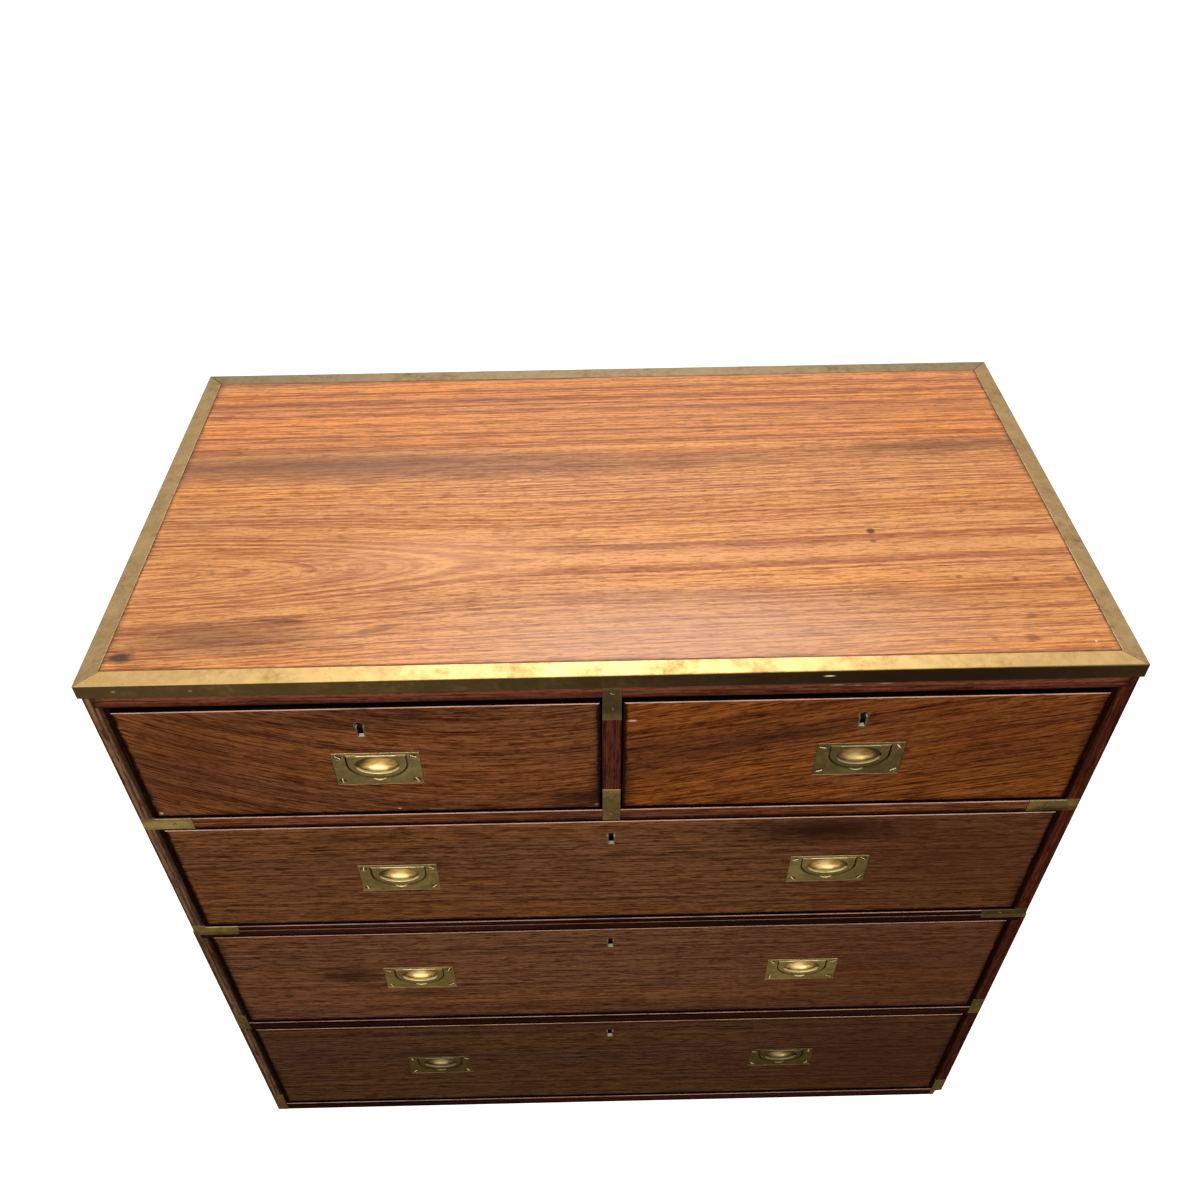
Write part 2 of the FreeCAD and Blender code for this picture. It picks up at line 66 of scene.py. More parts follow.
studio = {
    "overheadPlace": (100, 120, 2750), "overheadSize": (1100, 700), "overheadPower": 5,
    "rearPlace": (60, 1450, 2750), "rearSize": (1500, 900), "rearPower": 17,
    "frontPlace": (-250, -1900, 2950), "frontSize": (1500, 900), "frontPower": 58,
    "surround": 0.26,
    "floorSize": 14000, "floorShade": paint(215, 214, 212), "floorWhite": 0.88,
}


def makeCamera():
    bpy.ops.object.camera_add(location=scaled(cameraView["place"]),
                              rotation=[math.radians(angle) for angle in cameraView["turn"]])
    camera = bpy.context.object
    camera.name = "camera"
    camera.data.sensor_width = 36
    camera.data.lens = cameraView["lens"]
    camera.data.shift_x, camera.data.shift_y = cameraView["shift"]
    camera.data.clip_start = 0.01
    bpy.context.scene.camera = camera


def makeLamp(name, place, size, power, target):
    bpy.ops.object.light_add(type="AREA", location=scaled(place))
    lamp = bpy.context.object
    lamp.name = name
    lamp.data.shape = "RECTANGLE"
    lamp.data.size, lamp.data.size_y = scaled(size)
    lamp.data.energy = power
    aim = Vector(scaled(target)) - lamp.location
    lamp.rotation_euler = aim.to_track_quat("-Z", "Y").to_euler()


def seenDirectly(tree):    # 1 for what the camera, a reflection or glass sees
    path = tree.nodes.new("ShaderNodeLightPath")
    seen = calc(tree, "MAXIMUM", path.outputs["Is Camera Ray"], path.outputs["Is Glossy Ray"])
    return calc(tree, "MAXIMUM", seen, path.outputs["Is Transmission Ray"])


def makeWorld():
    world = bpy.data.worlds.new("surround")
    world.use_nodes = True
    bpy.context.scene.world = world
    tree = world.node_tree
    background = tree.nodes["Background"]
    background.inputs["Color"].default_value = (1, 1, 1, 1)
    level = calc(tree, "MAXIMUM", seenDirectly(tree), studio["surround"])
    tree.links.new(level, background.inputs["Strength"])


def makeFloor():
    bpy.ops.mesh.primitive_plane_add(size=studio["floorSize"] * mm)
    floor = bpy.context.object
    floor.name = "floor"
    material = bpy.data.materials.new("floor")
    material.use_nodes = True
    tree = material.node_tree
    shader = tree.nodes["Principled BSDF"]
    shader.inputs["Base Color"].default_value = studio["floorShade"]
    shader.inputs["Roughness"].default_value = 0.9
    shader.inputs["Specular IOR Level"].default_value = 0
    shader.inputs["Emission Color"].default_value = (1, 1, 1, 1)
    white = calc(tree, "MULTIPLY", seenDirectly(tree), studio["floorWhite"])
    tree.links.new(white, shader.inputs["Emission Strength"])
    floor.data.materials.append(material)


# node helpers
def feed(tree, socket, value):
    if isinstance(value, bpy.types.NodeSocket):
        tree.links.new(value, socket)
    else:
        socket.default_value = value


def calc(tree, operation, *values):
    node = tree.nodes.new("ShaderNodeMath")
    node.operation = operation
    for socket, value in zip(node.inputs, values):
        feed(tree, socket, value)
    return node.outputs[0]


def vectorCalc(tree, operation, first, second):
    node = tree.nodes.new("ShaderNodeVectorMath")
    node.operation = operation
    feed(tree, node.inputs[0], first)
    feed(tree, node.inputs[1], second)
    return node.outputs["Value" if operation in ("LENGTH", "DOT_PRODUCT") else "Vector"]


def blend(tree, amount, first, second, mode="MIX"):
    node = tree.nodes.new("ShaderNodeMix")
    node.data_type = "RGBA"
    node.blend_type = mode
    feed(tree, node.inputs[0], amount)
    feed(tree, node.inputs[6], first)
    feed(tree, node.inputs[7], second)
    return node.outputs[2]


def noise(tree, place, perMetre, detail=2, rough=0.5):
    node = tree.nodes.new("ShaderNodeTexNoise")
    feed(tree, node.inputs["Vector"], vectorCalc(tree, "MULTIPLY", place, perMetre))
    node.inputs["Scale"].default_value = 1
    node.inputs["Detail"].default_value = detail
    node.inputs["Roughness"].default_value = rough
    return node.outputs["Fac"]


def lineNoise(tree, value, scale, detail, rough):
    node = tree.nodes.new("ShaderNodeTexNoise")
    node.noise_dimensions = "1D"
    feed(tree, node.inputs["W"], value)
    node.inputs["Scale"].default_value = scale
    node.inputs["Detail"].default_value = detail
    node.inputs["Roughness"].default_value = rough
    return node.outputs["Fac"]


def rise(tree, value, low, high, smooth=True):    # 0 at low, 1 at high, and the other way round too
    node = tree.nodes.new("ShaderNodeMapRange")
    node.interpolation_type = "SMOOTHSTEP" if smooth else "LINEAR"
    feed(tree, node.inputs["Value"], value)
    feed(tree, node.inputs["From Min"], low)
    feed(tree, node.inputs["From Max"], high)
    return node.outputs["Result"]


def parts(tree, vector):
    node = tree.nodes.new("ShaderNodeSeparateXYZ")
    feed(tree, node.inputs[0], vector)
    return node.outputs


def newGroup(name, takes, gives):
    tree = bpy.data.node_groups.new(name, "ShaderNodeTree")
    for sockets, way in ((takes, "INPUT"), (gives, "OUTPUT")):
        for label, kind in sockets.items():
            tree.interface.new_socket(label, in_out=way, socket_type="NodeSocket" + kind)
    return tree, tree.nodes.new("NodeGroupInput").outputs, tree.nodes.new("NodeGroupOutput").inputs


def useGroup(tree, group, values):
    node = tree.nodes.new("ShaderNodeGroup")
    node.node_tree = group
    for label, value in values.items():
        feed(tree, node.inputs[label], value)
    return node.outputs


# wood grain: growth rings about a pith that wanders, with fibre, streaks and pores
def makeWoodGrain():
    tree, take, give = newGroup("woodGrain", {
        "Place": "Vector", "Light": "Color", "Deep": "Color", "Streak": "Color",
        "Line Width": "Float", "Pith Across": "Float", "Pith Depth": "Float", "Taper": "Float",
        "Taper End": "Float", "Slope": "Float", "Sweep": "Float", "Sweep Place": "Float",
        "Wander": "Float", "Figure": "Float", "Line Share": "Float", "Streak Share": "Float",
        "Pore Share": "Float",
    }, {"Color": "Color", "Pores": "Float", "Height": "Float"})
    place = take["Place"]
    along, across, depth = parts(tree, place)
    drift = calc(tree, "SUBTRACT", noise(tree, place, (1.3, 7, 7), 2), 0.5)
    shiver = calc(tree, "SUBTRACT", noise(tree, place, (11, 45, 45), 1), 0.5)
    wobble = calc(tree, "ADD", drift, calc(tree, "MULTIPLY", shiver, 0.12))
    wobble = calc(tree, "MULTIPLY", wobble, take["Wander"])
    run = calc(tree, "SUBTRACT", along, take["Sweep Place"])
    bow = calc(tree, "MULTIPLY", calc(tree, "MULTIPLY", run, run), take["Sweep"])
    bend = calc(tree, "ADD", bow, calc(tree, "MULTIPLY", along, take["Slope"]))
    bent = calc(tree, "ADD", calc(tree, "SUBTRACT", across, bend), wobble)
    sideways = calc(tree, "SUBTRACT", bent, take["Pith Across"])
    tapered = calc(tree, "SMOOTH_MIN", along, take["Taper End"], 120 * mm)
    pithDepth = calc(tree, "ADD", take["Pith Depth"], calc(tree, "MULTIPLY", tapered, take["Taper"]))
    inwards = calc(tree, "SUBTRACT", depth, pithDepth)
    radius = calc(tree, "SQRT", calc(tree, "ADD", calc(tree, "MULTIPLY", sideways, sideways),
                                     calc(tree, "MULTIPLY", inwards, inwards)))
    rings = calc(tree, "DIVIDE", radius, take["Line Width"])
    broad = lineNoise(tree, rings, 0.22, 2, 0.5)
    fine = lineNoise(tree, rings, 1.0, 4, 0.65)
    sharp = lineNoise(tree, calc(tree, "ADD", rings, 37), 0.55, 3, 0.6)
    flow = tree.nodes.new("ShaderNodeCombineXYZ")
    for socket, value in zip(flow.inputs, (along, bent, depth)):
        feed(tree, socket, value)
    fibre = noise(tree, flow.outputs[0], (17, 300, 300), 3, 0.7)
    shortPores = rise(tree, noise(tree, flow.outputs[0], (130, 620, 620), 1), 0.56, 0.64)
    longPores = rise(tree, noise(tree, flow.outputs[0], (48, 390, 390), 1), 0.59, 0.64)
    pores = calc(tree, "MAXIMUM", calc(tree, "MULTIPLY", shortPores, 0.7), longPores)
    streaks = rise(tree, noise(tree, flow.outputs[0], (1.1, 22, 22), 2), 0.50, 0.72)
    golden = rise(tree, noise(tree, flow.outputs[0], (1.7, 15, 15), 2), 0.44, 0.60)
    ringTone = calc(tree, "ADD", calc(tree, "MULTIPLY", broad, 0.36), calc(tree, "MULTIPLY", fine, 0.64))
    ringTone = calc(tree, "MULTIPLY", calc(tree, "SUBTRACT", ringTone, 0.5), take["Figure"])
    tone = calc(tree, "ADD", ringTone, calc(tree, "MULTIPLY", fibre, 0.6))
    color = blend(tree, rise(tree, tone, 0.21, 0.37, smooth=False), take["Deep"], take["Light"])
    color = blend(tree, golden, color, blend(tree, 1, color, (1.09, 1.04, 0.86, 1), "MULTIPLY"))
    color = blend(tree, calc(tree, "MULTIPLY", streaks, take["Streak Share"]), color, take["Streak"])
    broken = rise(tree, noise(tree, flow.outputs[0], (3, 120, 120), 2), 0.38, 0.6)
    lines = calc(tree, "MULTIPLY", rise(tree, sharp, 0.42, 0.34), broken)
    lines = calc(tree, "MULTIPLY", lines, take["Line Share"])
    dark = blend(tree, 1, color, (0.36, 0.28, 0.24, 1), "MULTIPLY")
    color = blend(tree, lines, color, dark)
    dark = blend(tree, 1, color, (0.36, 0.28, 0.24, 1), "MULTIPLY")
    color = blend(tree, calc(tree, "MULTIPLY", pores, take["Pore Share"]), color, dark)
    feed(tree, give["Color"], color)
    feed(tree, give["Pores"], pores)
    feed(tree, give["Height"], calc(tree, "SUBTRACT", calc(tree, "MULTIPLY", fibre, 0.5), pores))
    return tree


# an oval stain or scratch with a ragged rim
def makeSpot():
    tree, take, give = newGroup("spot", {
        "Place": "Vector", "Centre": "Vector", "Size": "Vector", "Turn": "Float",
        "Soft": "Float", "Ragged": "Float", "Strength": "Float",
    }, {"Mask": "Float"})
    offset = vectorCalc(tree, "SUBTRACT", take["Place"], take["Centre"])
    turned = tree.nodes.new("ShaderNodeVectorRotate")
    turned.rotation_type = "Z_AXIS"
    feed(tree, turned.inputs["Vector"], offset)
    feed(tree, turned.inputs["Angle"], calc(tree, "MULTIPLY", take["Turn"], -1))
    reach = vectorCalc(tree, "LENGTH", vectorCalc(tree, "DIVIDE", turned.outputs[0], take["Size"]), (0, 0, 0))
    ragged = calc(tree, "SUBTRACT", noise(tree, take["Place"], (60, 260, 260), 3, 0.6), 0.5)
    reach = calc(tree, "ADD", reach, calc(tree, "MULTIPLY", ragged, take["Ragged"]))
    mask = rise(tree, reach, 1, calc(tree, "SUBTRACT", 1, take["Soft"]))
    feed(tree, give["Mask"], calc(tree, "MULTIPLY", mask, take["Strength"]))
    return tree


# darker along the ends and edges of a board: grime, and painted shade where it meets the next part
def makeEdgeGrime():
    tree, take, give = newGroup("edgeGrime", {
        "Place": "Vector", "Low": "Vector", "High": "Vector",
        "End Width": "Float", "Lower Width": "Float", "Upper Width": "Float",
    }, {"Mask": "Float"})
    ragged = rise(tree, noise(tree, take["Place"], (150, 150, 150), 3, 0.6), 0.3, 0.7, smooth=False)
    cloudy = rise(tree, noise(tree, take["Place"], (11, 11, 11), 2), 0.35, 0.65)
    fromLow = parts(tree, vectorCalc(tree, "SUBTRACT", take["Place"], take["Low"]))
    toHigh = parts(tree, vectorCalc(tree, "SUBTRACT", take["High"], take["Place"]))
    ends = calc(tree, "MINIMUM", fromLow[0], toHigh[0])
    masks = []
    for gap, width in ((ends, "End Width"), (fromLow[1], "Lower Width"), (toHigh[1], "Upper Width")):
        near = calc(tree, "DIVIDE", gap, calc(tree, "MULTIPLY", take[width], calc(tree, "ADD", ragged, 0.9)))
        reach = calc(tree, "MULTIPLY", take[width], calc(tree, "ADD", calc(tree, "MULTIPLY", cloudy, 3), 1.2))
        shade = calc(tree, "MULTIPLY", rise(tree, calc(tree, "DIVIDE", gap, reach), 1, 0), 0.7)
        masks.append(calc(tree, "MAXIMUM", rise(tree, near, 0.9, 0.4), shade))
    mask = calc(tree, "MAXIMUM", calc(tree, "MAXIMUM", masks[0], masks[1]), masks[2])
    feed(tree, give["Mask"], mask)
    return tree


# arrises and tops that catch the light: 0 on an upright face, 1 on one turned up
def makeTurnedUp():
    tree, take, give = newGroup("turnedUp", {"Low": "Float", "High": "Float"}, {"Mask": "Float"})
    facing = tree.nodes.new("ShaderNodeTexCoord").outputs["Normal"]
    feed(tree, give["Mask"], rise(tree, parts(tree, facing)[2], take["Low"], take["High"]))
    return tree


# the front arris of a board, rubbed pale and with a painted highlight, and a painted shadow on the top face
# that runs back from it
sootReach = (50, 20)


def makeWornArris():
    tree, take, give = newGroup("wornArris", {"Behind": "Float", "Width": "Float"},
                                {"Rubbed": "Float", "Sooty": "Float"})
    up = useGroup(tree, turnedUp, {"Low": 0.30, "High": 0.45})["Mask"]
    back = rise(tree, take["Behind"], take["Width"], calc(tree, "ADD", take["Width"], 0.35 * mm))
    place = tree.nodes.new("ShaderNodeTexCoord").outputs["Object"]
    patchy = rise(tree, noise(tree, place, (22, 22, 22), 3, 0.65), 0.26, 0.56)
    patchy = calc(tree, "ADD", calc(tree, "MULTIPLY", patchy, 0.6), 0.4)
    rubbed = calc(tree, "MULTIPLY", calc(tree, "MULTIPLY", up, calc(tree, "SUBTRACT", 1, back)), patchy)
    feed(tree, give["Rubbed"], rubbed)
    near = rise(tree, take["Behind"], *scaled(sootReach))
    feed(tree, give["Sooty"], calc(tree, "MULTIPLY", calc(tree, "MULTIPLY", up, back), near))
    return tree


# old brass: rubbed metal, dull skin, dark specks and fine brushing
def makePatina():
    tree, take, give = newGroup("patina", {
        "Place": "Vector", "Rubbed": "Color", "Dull": "Color", "Dark": "Color",
        "Rub": "Float", "Specks": "Float", "Along": "Vector",
    }, {"Color": "Color", "Tarnish": "Float", "Height": "Float"})
    place = take["Place"]
    cloud = noise(tree, place, (22, 22, 22), 4, 0.62)
    mottle = noise(tree, place, (160, 160, 160), 3, 0.6)
    brushing = noise(tree, vectorCalc(tree, "MULTIPLY", place, take["Along"]), (1, 1, 1), 2, 0.6)
    specks = rise(tree, noise(tree, place, (420, 420, 420), 1), 0.66, 0.74)
    specks = calc(tree, "MULTIPLY", specks, take["Specks"])
    skin = calc(tree, "ADD", calc(tree, "MULTIPLY", cloud, 0.6), calc(tree, "MULTIPLY", mottle, 0.4))
    bare = rise(tree, calc(tree, "ADD", skin, calc(tree, "SUBTRACT", take["Rub"], 0.5)), 0.38, 0.62)
    color = blend(tree, bare, take["Dull"], take["Rubbed"])
    worn = rise(tree, skin, 0.40, 0.30)
    color = blend(tree, calc(tree, "MULTIPLY", worn, 0.5), color, take["Dark"])
    color = blend(tree, specks, color, take["Dark"])
    lift = rise(tree, brushing, 0.3, 0.7, smooth=False)
    color = blend(tree, 0.5, color, blend(tree, lift, (0.78, 0.78, 0.78, 1), (1.15, 1.15, 1.15, 1)),
                  "MULTIPLY")
    feed(tree, give["Color"], color)
    feed(tree, give["Tarnish"], calc(tree, "MAXIMUM", calc(tree, "SUBTRACT", 1, bare), specks))
    height = calc(tree, "ADD", calc(tree, "MULTIPLY", brushing, 0.5), calc(tree, "MULTIPLY", mottle, 0.5))
    feed(tree, give["Height"], calc(tree, "SUBTRACT", height, specks))
    return tree


woodGrain = makeWoodGrain()
spot = makeSpot()
edgeGrime = makeEdgeGrime()
turnedUp = makeTurnedUp()
wornArris = makeWornArris()
patina = makePatina()
print("node groups made")


# wood finishes
chestWood = {
    "order": "XZY", "light": paint(205, 128, 74), "deep": paint(140, 72, 44), "streak": paint(112, 56, 40),
    "lineWidth": 5, "pith": (-400, 260), "taper": 0, "taperEnd": 1000, "slope": 0, "sweep": 0,
    "sweepPlace": 0, "wander": 16, "figure": 1, "lines": 0.6, "streaks": 0.5, "pores": 0.7,
    "shift": (0, 0, 0), "gloss": 0, "roughness": 0.38, "bump": 0.25,
    "grimeWidths": (4, 3, 2), "grime": 0.8, "grimeColour": paint(26, 13, 10),
    # the arris colour is wear with a painted highlight; the dark one is a painted shadow on top faces in the
    # gaps
    "arris": 0, "arrisColour": paint(226, 172, 146), "soot": paint(10, 6, 5),
}


def like(base, **changes):
    look = dict(base)
    look.update(changes)
    return look


def pick(order, vector):    # along, across and depth of a board from X, Y and Z
    return Vector(vector["XYZ".index(axis)] for axis in order)


def boardPlace(tree, order, shift):
    source = parts(tree, tree.nodes.new("ShaderNodeTexCoord").outputs["Object"])
    board = tree.nodes.new("ShaderNodeCombineXYZ")
    for socket, axis in zip(board.inputs, order):
        feed(tree, socket, source["XYZ".index(axis)])
    return vectorCalc(tree, "ADD", board.outputs[0], scaled(shift))


def grainOf(tree, place, look):
    return useGroup(tree, woodGrain, {
        "Place": place, "Light": look["light"], "Deep": look["deep"], "Streak": look["streak"],
        "Line Width": look["lineWidth"] * mm, "Pith Across": look["pith"][0] * mm,
        "Pith Depth": look["pith"][1] * mm, "Taper": look["taper"], "Taper End": look["taperEnd"] * mm,
        "Slope": look["slope"], "Sweep": look["sweep"], "Sweep Place": look["sweepPlace"] * mm,
        "Wander": look["wander"] * mm, "Figure": look["figure"], "Line Share": look["lines"],
        "Streak Share": look["streaks"], "Pore Share": look["pores"],
    })


def spotMask(tree, place, centre, size, strength, turn=0, soft=0.6, ragged=0.6):
    return useGroup(tree, spot, {
        "Place": place, "Centre": scaled(centre), "Size": scaled(size), "Turn": math.radians(turn),
        "Soft": soft, "Ragged": ragged, "Strength": strength,
    })["Mask"]


def newMaterial(name):
    material = bpy.data.materials.new(name)
    material.use_nodes = True
    return material, material.node_tree, material.node_tree.nodes["Principled BSDF"]


def addBump(tree, shader, height, strength, distance):
    bump = tree.nodes.new("ShaderNodeBump")
    bump.inputs["Strength"].default_value = strength
    bump.inputs["Distance"].default_value = distance * mm
    feed(tree, bump.inputs["Height"], height)
    feed(tree, shader.inputs["Normal"], bump.outputs["Normal"])


def addMarks(tree, place, color, marks):    # stains, chips and scratches
    for mark in marks:
        mask = spotMask(tree, place, mark["at"], mark["size"], mark["strength"], mark.get("turn", 0),
                        mark.get("soft", 0.6), mark.get("ragged", 0.6))
        color = blend(tree, mask, color, mark["colour"])
    return color


# the edge mask darkens the colour: grime, with painted shade along the gaps
def addGrime(tree, place, low, high, look, color, rough):
    endWidth, lowerWidth, upperWidth = scaled(look["grimeWidths"])
    dirt = useGroup(tree, edgeGrime, {
        "Place": place, "Low": low, "High": high,
        "End Width": endWidth, "Lower Width": lowerWidth, "Upper Width": upperWidth,
    })["Mask"]
    color = blend(tree, calc(tree, "MULTIPLY", dirt, look["grime"]), color, look["grimeColour"])
    return color, calc(tree, "ADD", rough, calc(tree, "MULTIPLY", dirt, 0.2))


# a pale arris, wear with a painted highlight on the rounded edge, and a painted shadow on the top face behind
# it
def addArris(tree, look, frontFace, color):
    depth = parts(tree, tree.nodes.new("ShaderNodeTexCoord").outputs["Object"])[1]
    worn = useGroup(tree, wornArris, {
        "Behind": calc(tree, "SUBTRACT", depth, frontFace), "Width": look["arris"] * mm})
    color = blend(tree, worn["Sooty"], color, look["soot"])
    return blend(tree, calc(tree, "MULTIPLY", worn["Rubbed"], 0.85), color, look["arrisColour"])


def woodMaterial(name, look, box=None, marks=()):
    material, tree, shader = newMaterial(name)
    plain = boardPlace(tree, look["order"], (0, 0, 0))
    grain = grainOf(tree, boardPlace(tree, look["order"], look["shift"]), look)
    color = addMarks(tree, plain, grain["Color"], marks)
    rough = calc(tree, "ADD", look["roughness"], calc(tree, "MULTIPLY", grain["Pores"], 0.2))
    if box and look["grime"]:
        low, high = pick(look["order"], box[0]), pick(look["order"], box[1])
        color, rough = addGrime(tree, plain, low, high, look, color, rough)
    if box and look["arris"]:
        color = addArris(tree, look, box[0].y, color)
    feed(tree, shader.inputs["Base Color"], color)
    feed(tree, shader.inputs["Roughness"], rough)
    shader.inputs["Specular IOR Level"].default_value = look["gloss"]
    addBump(tree, shader, grain["Height"], look["bump"], 0.25)
    return material


def dress(node, material):
    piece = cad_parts[node]
    piece.data.materials.clear()
    piece.data.materials.append(material)


def easeArrises(node, width, angle=40, segments=2):    # live modifiers only: the node's mesh stays
    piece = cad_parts[node]
    weld = piece.modifiers.new("weld", "WELD")
    weld.merge_threshold = 0.00001
    arris = piece.modifiers.new("arris", "BEVEL")
    arris.width = width * mm
    arris.segments = segments
    arris.limit_method = "ANGLE"
    arris.angle_limit = math.radians(angle)
    piece.modifiers.new("facing", "WEIGHTED_NORMAL")


# the top: two boards with a seam, stained and scratched
topLook = like(
    chestWood, order="XYZ", light=paint(228, 157, 94), deep=paint(168, 98, 55), streak=paint(132, 72, 44),
    lineWidth=3.2, pith=(-100, -66), taper=-0.13, taperEnd=-130, slope=0.03, wander=20, figure=0.8,
    lines=0.25, streaks=0.25, pores=0.5, gloss=0.25, roughness=0.36, grimeWidths=(2, 1.6, 1.6), grime=0.6,
    shift=(0, 0, -965))

topBoards = {
    "seam": 98, "seamWidth": 0.5,
    "backBoard": like(topLook, light=paint(228, 149, 86), deep=paint(162, 92, 50), pith=(-240, -330),
                      lineWidth=3.4, slope=0.012, wander=10, streaks=0.35, taper=0, shift=(300, 100, -965)),
}

def markOn(level, reach):    # a mark lies on a face at this level and reaches this far through it
    def mark(at, size, strength, colour, **more):
        return {"at": (*at, level), "size": (*size, reach), "strength": strength, "colour": colour, **more}
    return mark


topMark = markOn(965, 400)
darkBrown = paint(70, 38, 28)
greyBrown = paint(118, 74, 54)
inkBrown = paint(52, 30, 30)
topMarks = [
    topMark((-330, 66), (560, 44), 0.75, greyBrown, soft=1.0),
    topMark((395, 82), (210, 20), 0.6, darkBrown, soft=1.0, turn=2),
    topMark((60, 60), (330, 22), 0.35, darkBrown, soft=1.0, turn=3),
    topMark((-380, -205), (170, 40), 0.6, darkBrown, soft=1.0),
    topMark((-466, -227), (20, 10), 0.9, inkBrown, soft=0.7),
    topMark((-323, -182), (34, 4), 0.6, inkBrown, turn=-4),
    topMark((-228, -197), (26, 5), 0.5, inkBrown, turn=8),
    topMark((282, -66), (6, 6), 0.85, inkBrown, ragged=0.5),
    topMark((281, -82), (4.5, 3.5), 0.6, inkBrown),
    topMark((356, -139), (5, 4), 0.5, inkBrown),
    topMark((412, -144), (4.5, 4), 0.5, inkBrown),
    topMark((467, -146), (10, 4), 0.5, inkBrown),
    topMark((411, -196), (8, 5), 0.4, inkBrown),
    topMark((366, -226), (5, 5), 0.4, inkBrown),
    topMark((402, -224), (9, 5), 0.45, inkBrown),
    topMark((461, -231), (1.6, 1.6), 0.9, paint(235, 220, 205)),
    topMark((245, -154), (19, 0.45), 0.6, darkBrown, turn=35),
    topMark((120, -121), (9, 0.4), 0.5, darkBrown, turn=67),
    topMark((-315, -117), (11, 0.5), 0.5, darkBrown, turn=85),
    topMark((-22, -160), (12, 0.4), 0.4, darkBrown, turn=80),
    topMark((390, -150), (40, 0.4), 0.35, darkBrown, turn=-70),
    # painted sheen: a pale pink reflection across the front middle of the top
    topMark((60, -230), (420, 110), 0.5, paint(206, 166, 142), soft=1.0, ragged=0.3),
    topMark((-360, -80), (300, 130), 0.15, greyBrown, soft=1.0),
    topMark((-180, -95), (170, 60), 0.4, paint(246, 178, 122), soft=1.0),
    topMark((330, 190), (300, 80), 0.3, greyBrown, soft=1.0),
]


def makeTopMaterial():
    material, tree, shader = newMaterial("topBoards")
    place = boardPlace(tree, "XYZ", (0, 0, 0))
    front = grainOf(tree, boardPlace(tree, "XYZ", topLook["shift"]), topLook)
    back = topBoards["backBoard"]
    backPlace = boardPlace(tree, "XYZ", back["shift"])
    rear = grainOf(tree, backPlace, back)
    across = parts(tree, place)[1]
    seam = topBoards["seam"] * mm
    width = topBoards["seamWidth"] * mm
    behind = rise(tree, across, seam - width / 2, seam + width / 2)
    color = addMarks(tree, place, front["Color"], topMarks)
    color = blend(tree, behind, color, rear["Color"])
    gap = rise(tree, calc(tree, "ABSOLUTE", calc(tree, "SUBTRACT", across, seam)), width * 1.6, 0)
    color = blend(tree, calc(tree, "MULTIPLY", gap, 0.5), color, darkBrown)
    rough = calc(tree, "ADD", topLook["roughness"], calc(tree, "MULTIPLY", front["Pores"], 0.2))
    low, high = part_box("top_board")
    edging = 16.5 * mm    # the flange's width less its thickness
    low, high = low + Vector((edging, edging, -1)), high - Vector((edging, edging, -1))
    color, rough = addGrime(tree, place, low, high, topLook, color, rough)
    feed(tree, shader.inputs["Base Color"], color)
    feed(tree, shader.inputs["Roughness"], rough)
    shader.inputs["Specular IOR Level"].default_value = topLook["gloss"]
    addBump(tree, shader, front["Height"], topLook["bump"], 0.25)
    return material


dress("top_board", makeTopMaterial())
print("top boards stained")


# drawer fronts, each from its own board
frontWood = like(chestWood, streak=paint(74, 38, 28), roughness=0.42, wander=7, lineWidth=2.1, figure=0.5,
                 lines=0.7, streaks=0.4, pores=0.85, grimeWidths=(4.2, 3.2, 0.1), grime=0.92, arris=0.55)
frontMark = markOn(-257, 40)    # along X, up Z and through Y
smudge = paint(34, 20, 14)
redShade = paint(72, 34, 18)
paleChip = paint(214, 176, 150)

frontBoards = {
    "top_left": {
        "look": like(frontWood, light=paint(136, 84, 50), deep=paint(84, 45, 25), sweep=0.8, sweepPlace=-130,
                     wander=12, lineWidth=2.3, streaks=0.4, shift=(0, 40, 0)),
        "marks": [
            frontMark((-260, 905), (240, 26), 0.4, smudge, soft=1.0),
            frontMark((-223, 757), (2.4, 1.2), 0.9, paleChip),
            frontMark((-479, 898), (4, 3), 0.8, paleChip),
            frontMark((-15, 757), (3.4, 2), 0.9, paleChip),
            frontMark((-474, 757), (3, 2.4), 0.8, paleChip),
            frontMark((-30, 770), (60, 20), 0.7, smudge, soft=1.0),
            frontMark((-410, 860), (90, 80), 0.4, redShade, soft=1.0),
        ],
    },
    "top_right": {
        "look": like(frontWood, light=paint(150, 88, 42), deep=paint(90, 43, 19), slope=0.2, wander=16,
                     lineWidth=2.4, streaks=0.5, shift=(300, 10, 0)),
        "marks": [
            frontMark((160, 862), (150, 14), 0.45, smudge, soft=1.0, turn=14),
            frontMark((20, 893), (6, 2), 0.85, paleChip),
            frontMark((479, 915), (3, 2), 0.8, paleChip),
            frontMark((400, 850), (190, 110), 0.35, redShade, soft=1.0),
        ],
    },
    "second": {
        "look": like(frontWood, light=paint(130, 84, 53), deep=paint(81, 48, 29), shift=(0, 300, 0)),
        "marks": [
            frontMark((235, 700), (160, 38), 0.95, smudge, soft=1.0),
            frontMark((-300, 700), (90, 12), 0.4, smudge, soft=1.0),
            frontMark((475, 728), (2, 6), 0.9, paleChip),
            frontMark((400, 640), (330, 240), 0.5, redShade, soft=1.0),
            frontMark((307, 531), (9, 2), 0.85, paleChip),
        ],
    },
    "third": {
        "look": like(frontWood, light=paint(132, 87, 59), deep=paint(84, 51, 35), shift=(200, 500, 0)),
        "marks": [
            frontMark((-330, 400), (60, 30), 0.7, smudge, soft=1.0),
            frontMark((-240, 350), (70, 16), 0.5, smudge, soft=1.0),
            frontMark((400, 400), (360, 240), 0.45, redShade, soft=1.0),
        ],
    },
    "bottom": {
        "look": like(frontWood, light=paint(102, 69, 46), deep=paint(64, 41, 27), shift=(-200, 800, 0)),
        "marks": [
            frontMark((-250, 170), (90, 24), 0.4, smudge, soft=1.0),
            frontMark((400, 130), (360, 240), 0.45, redShade, soft=1.0),
        ],
    },
}


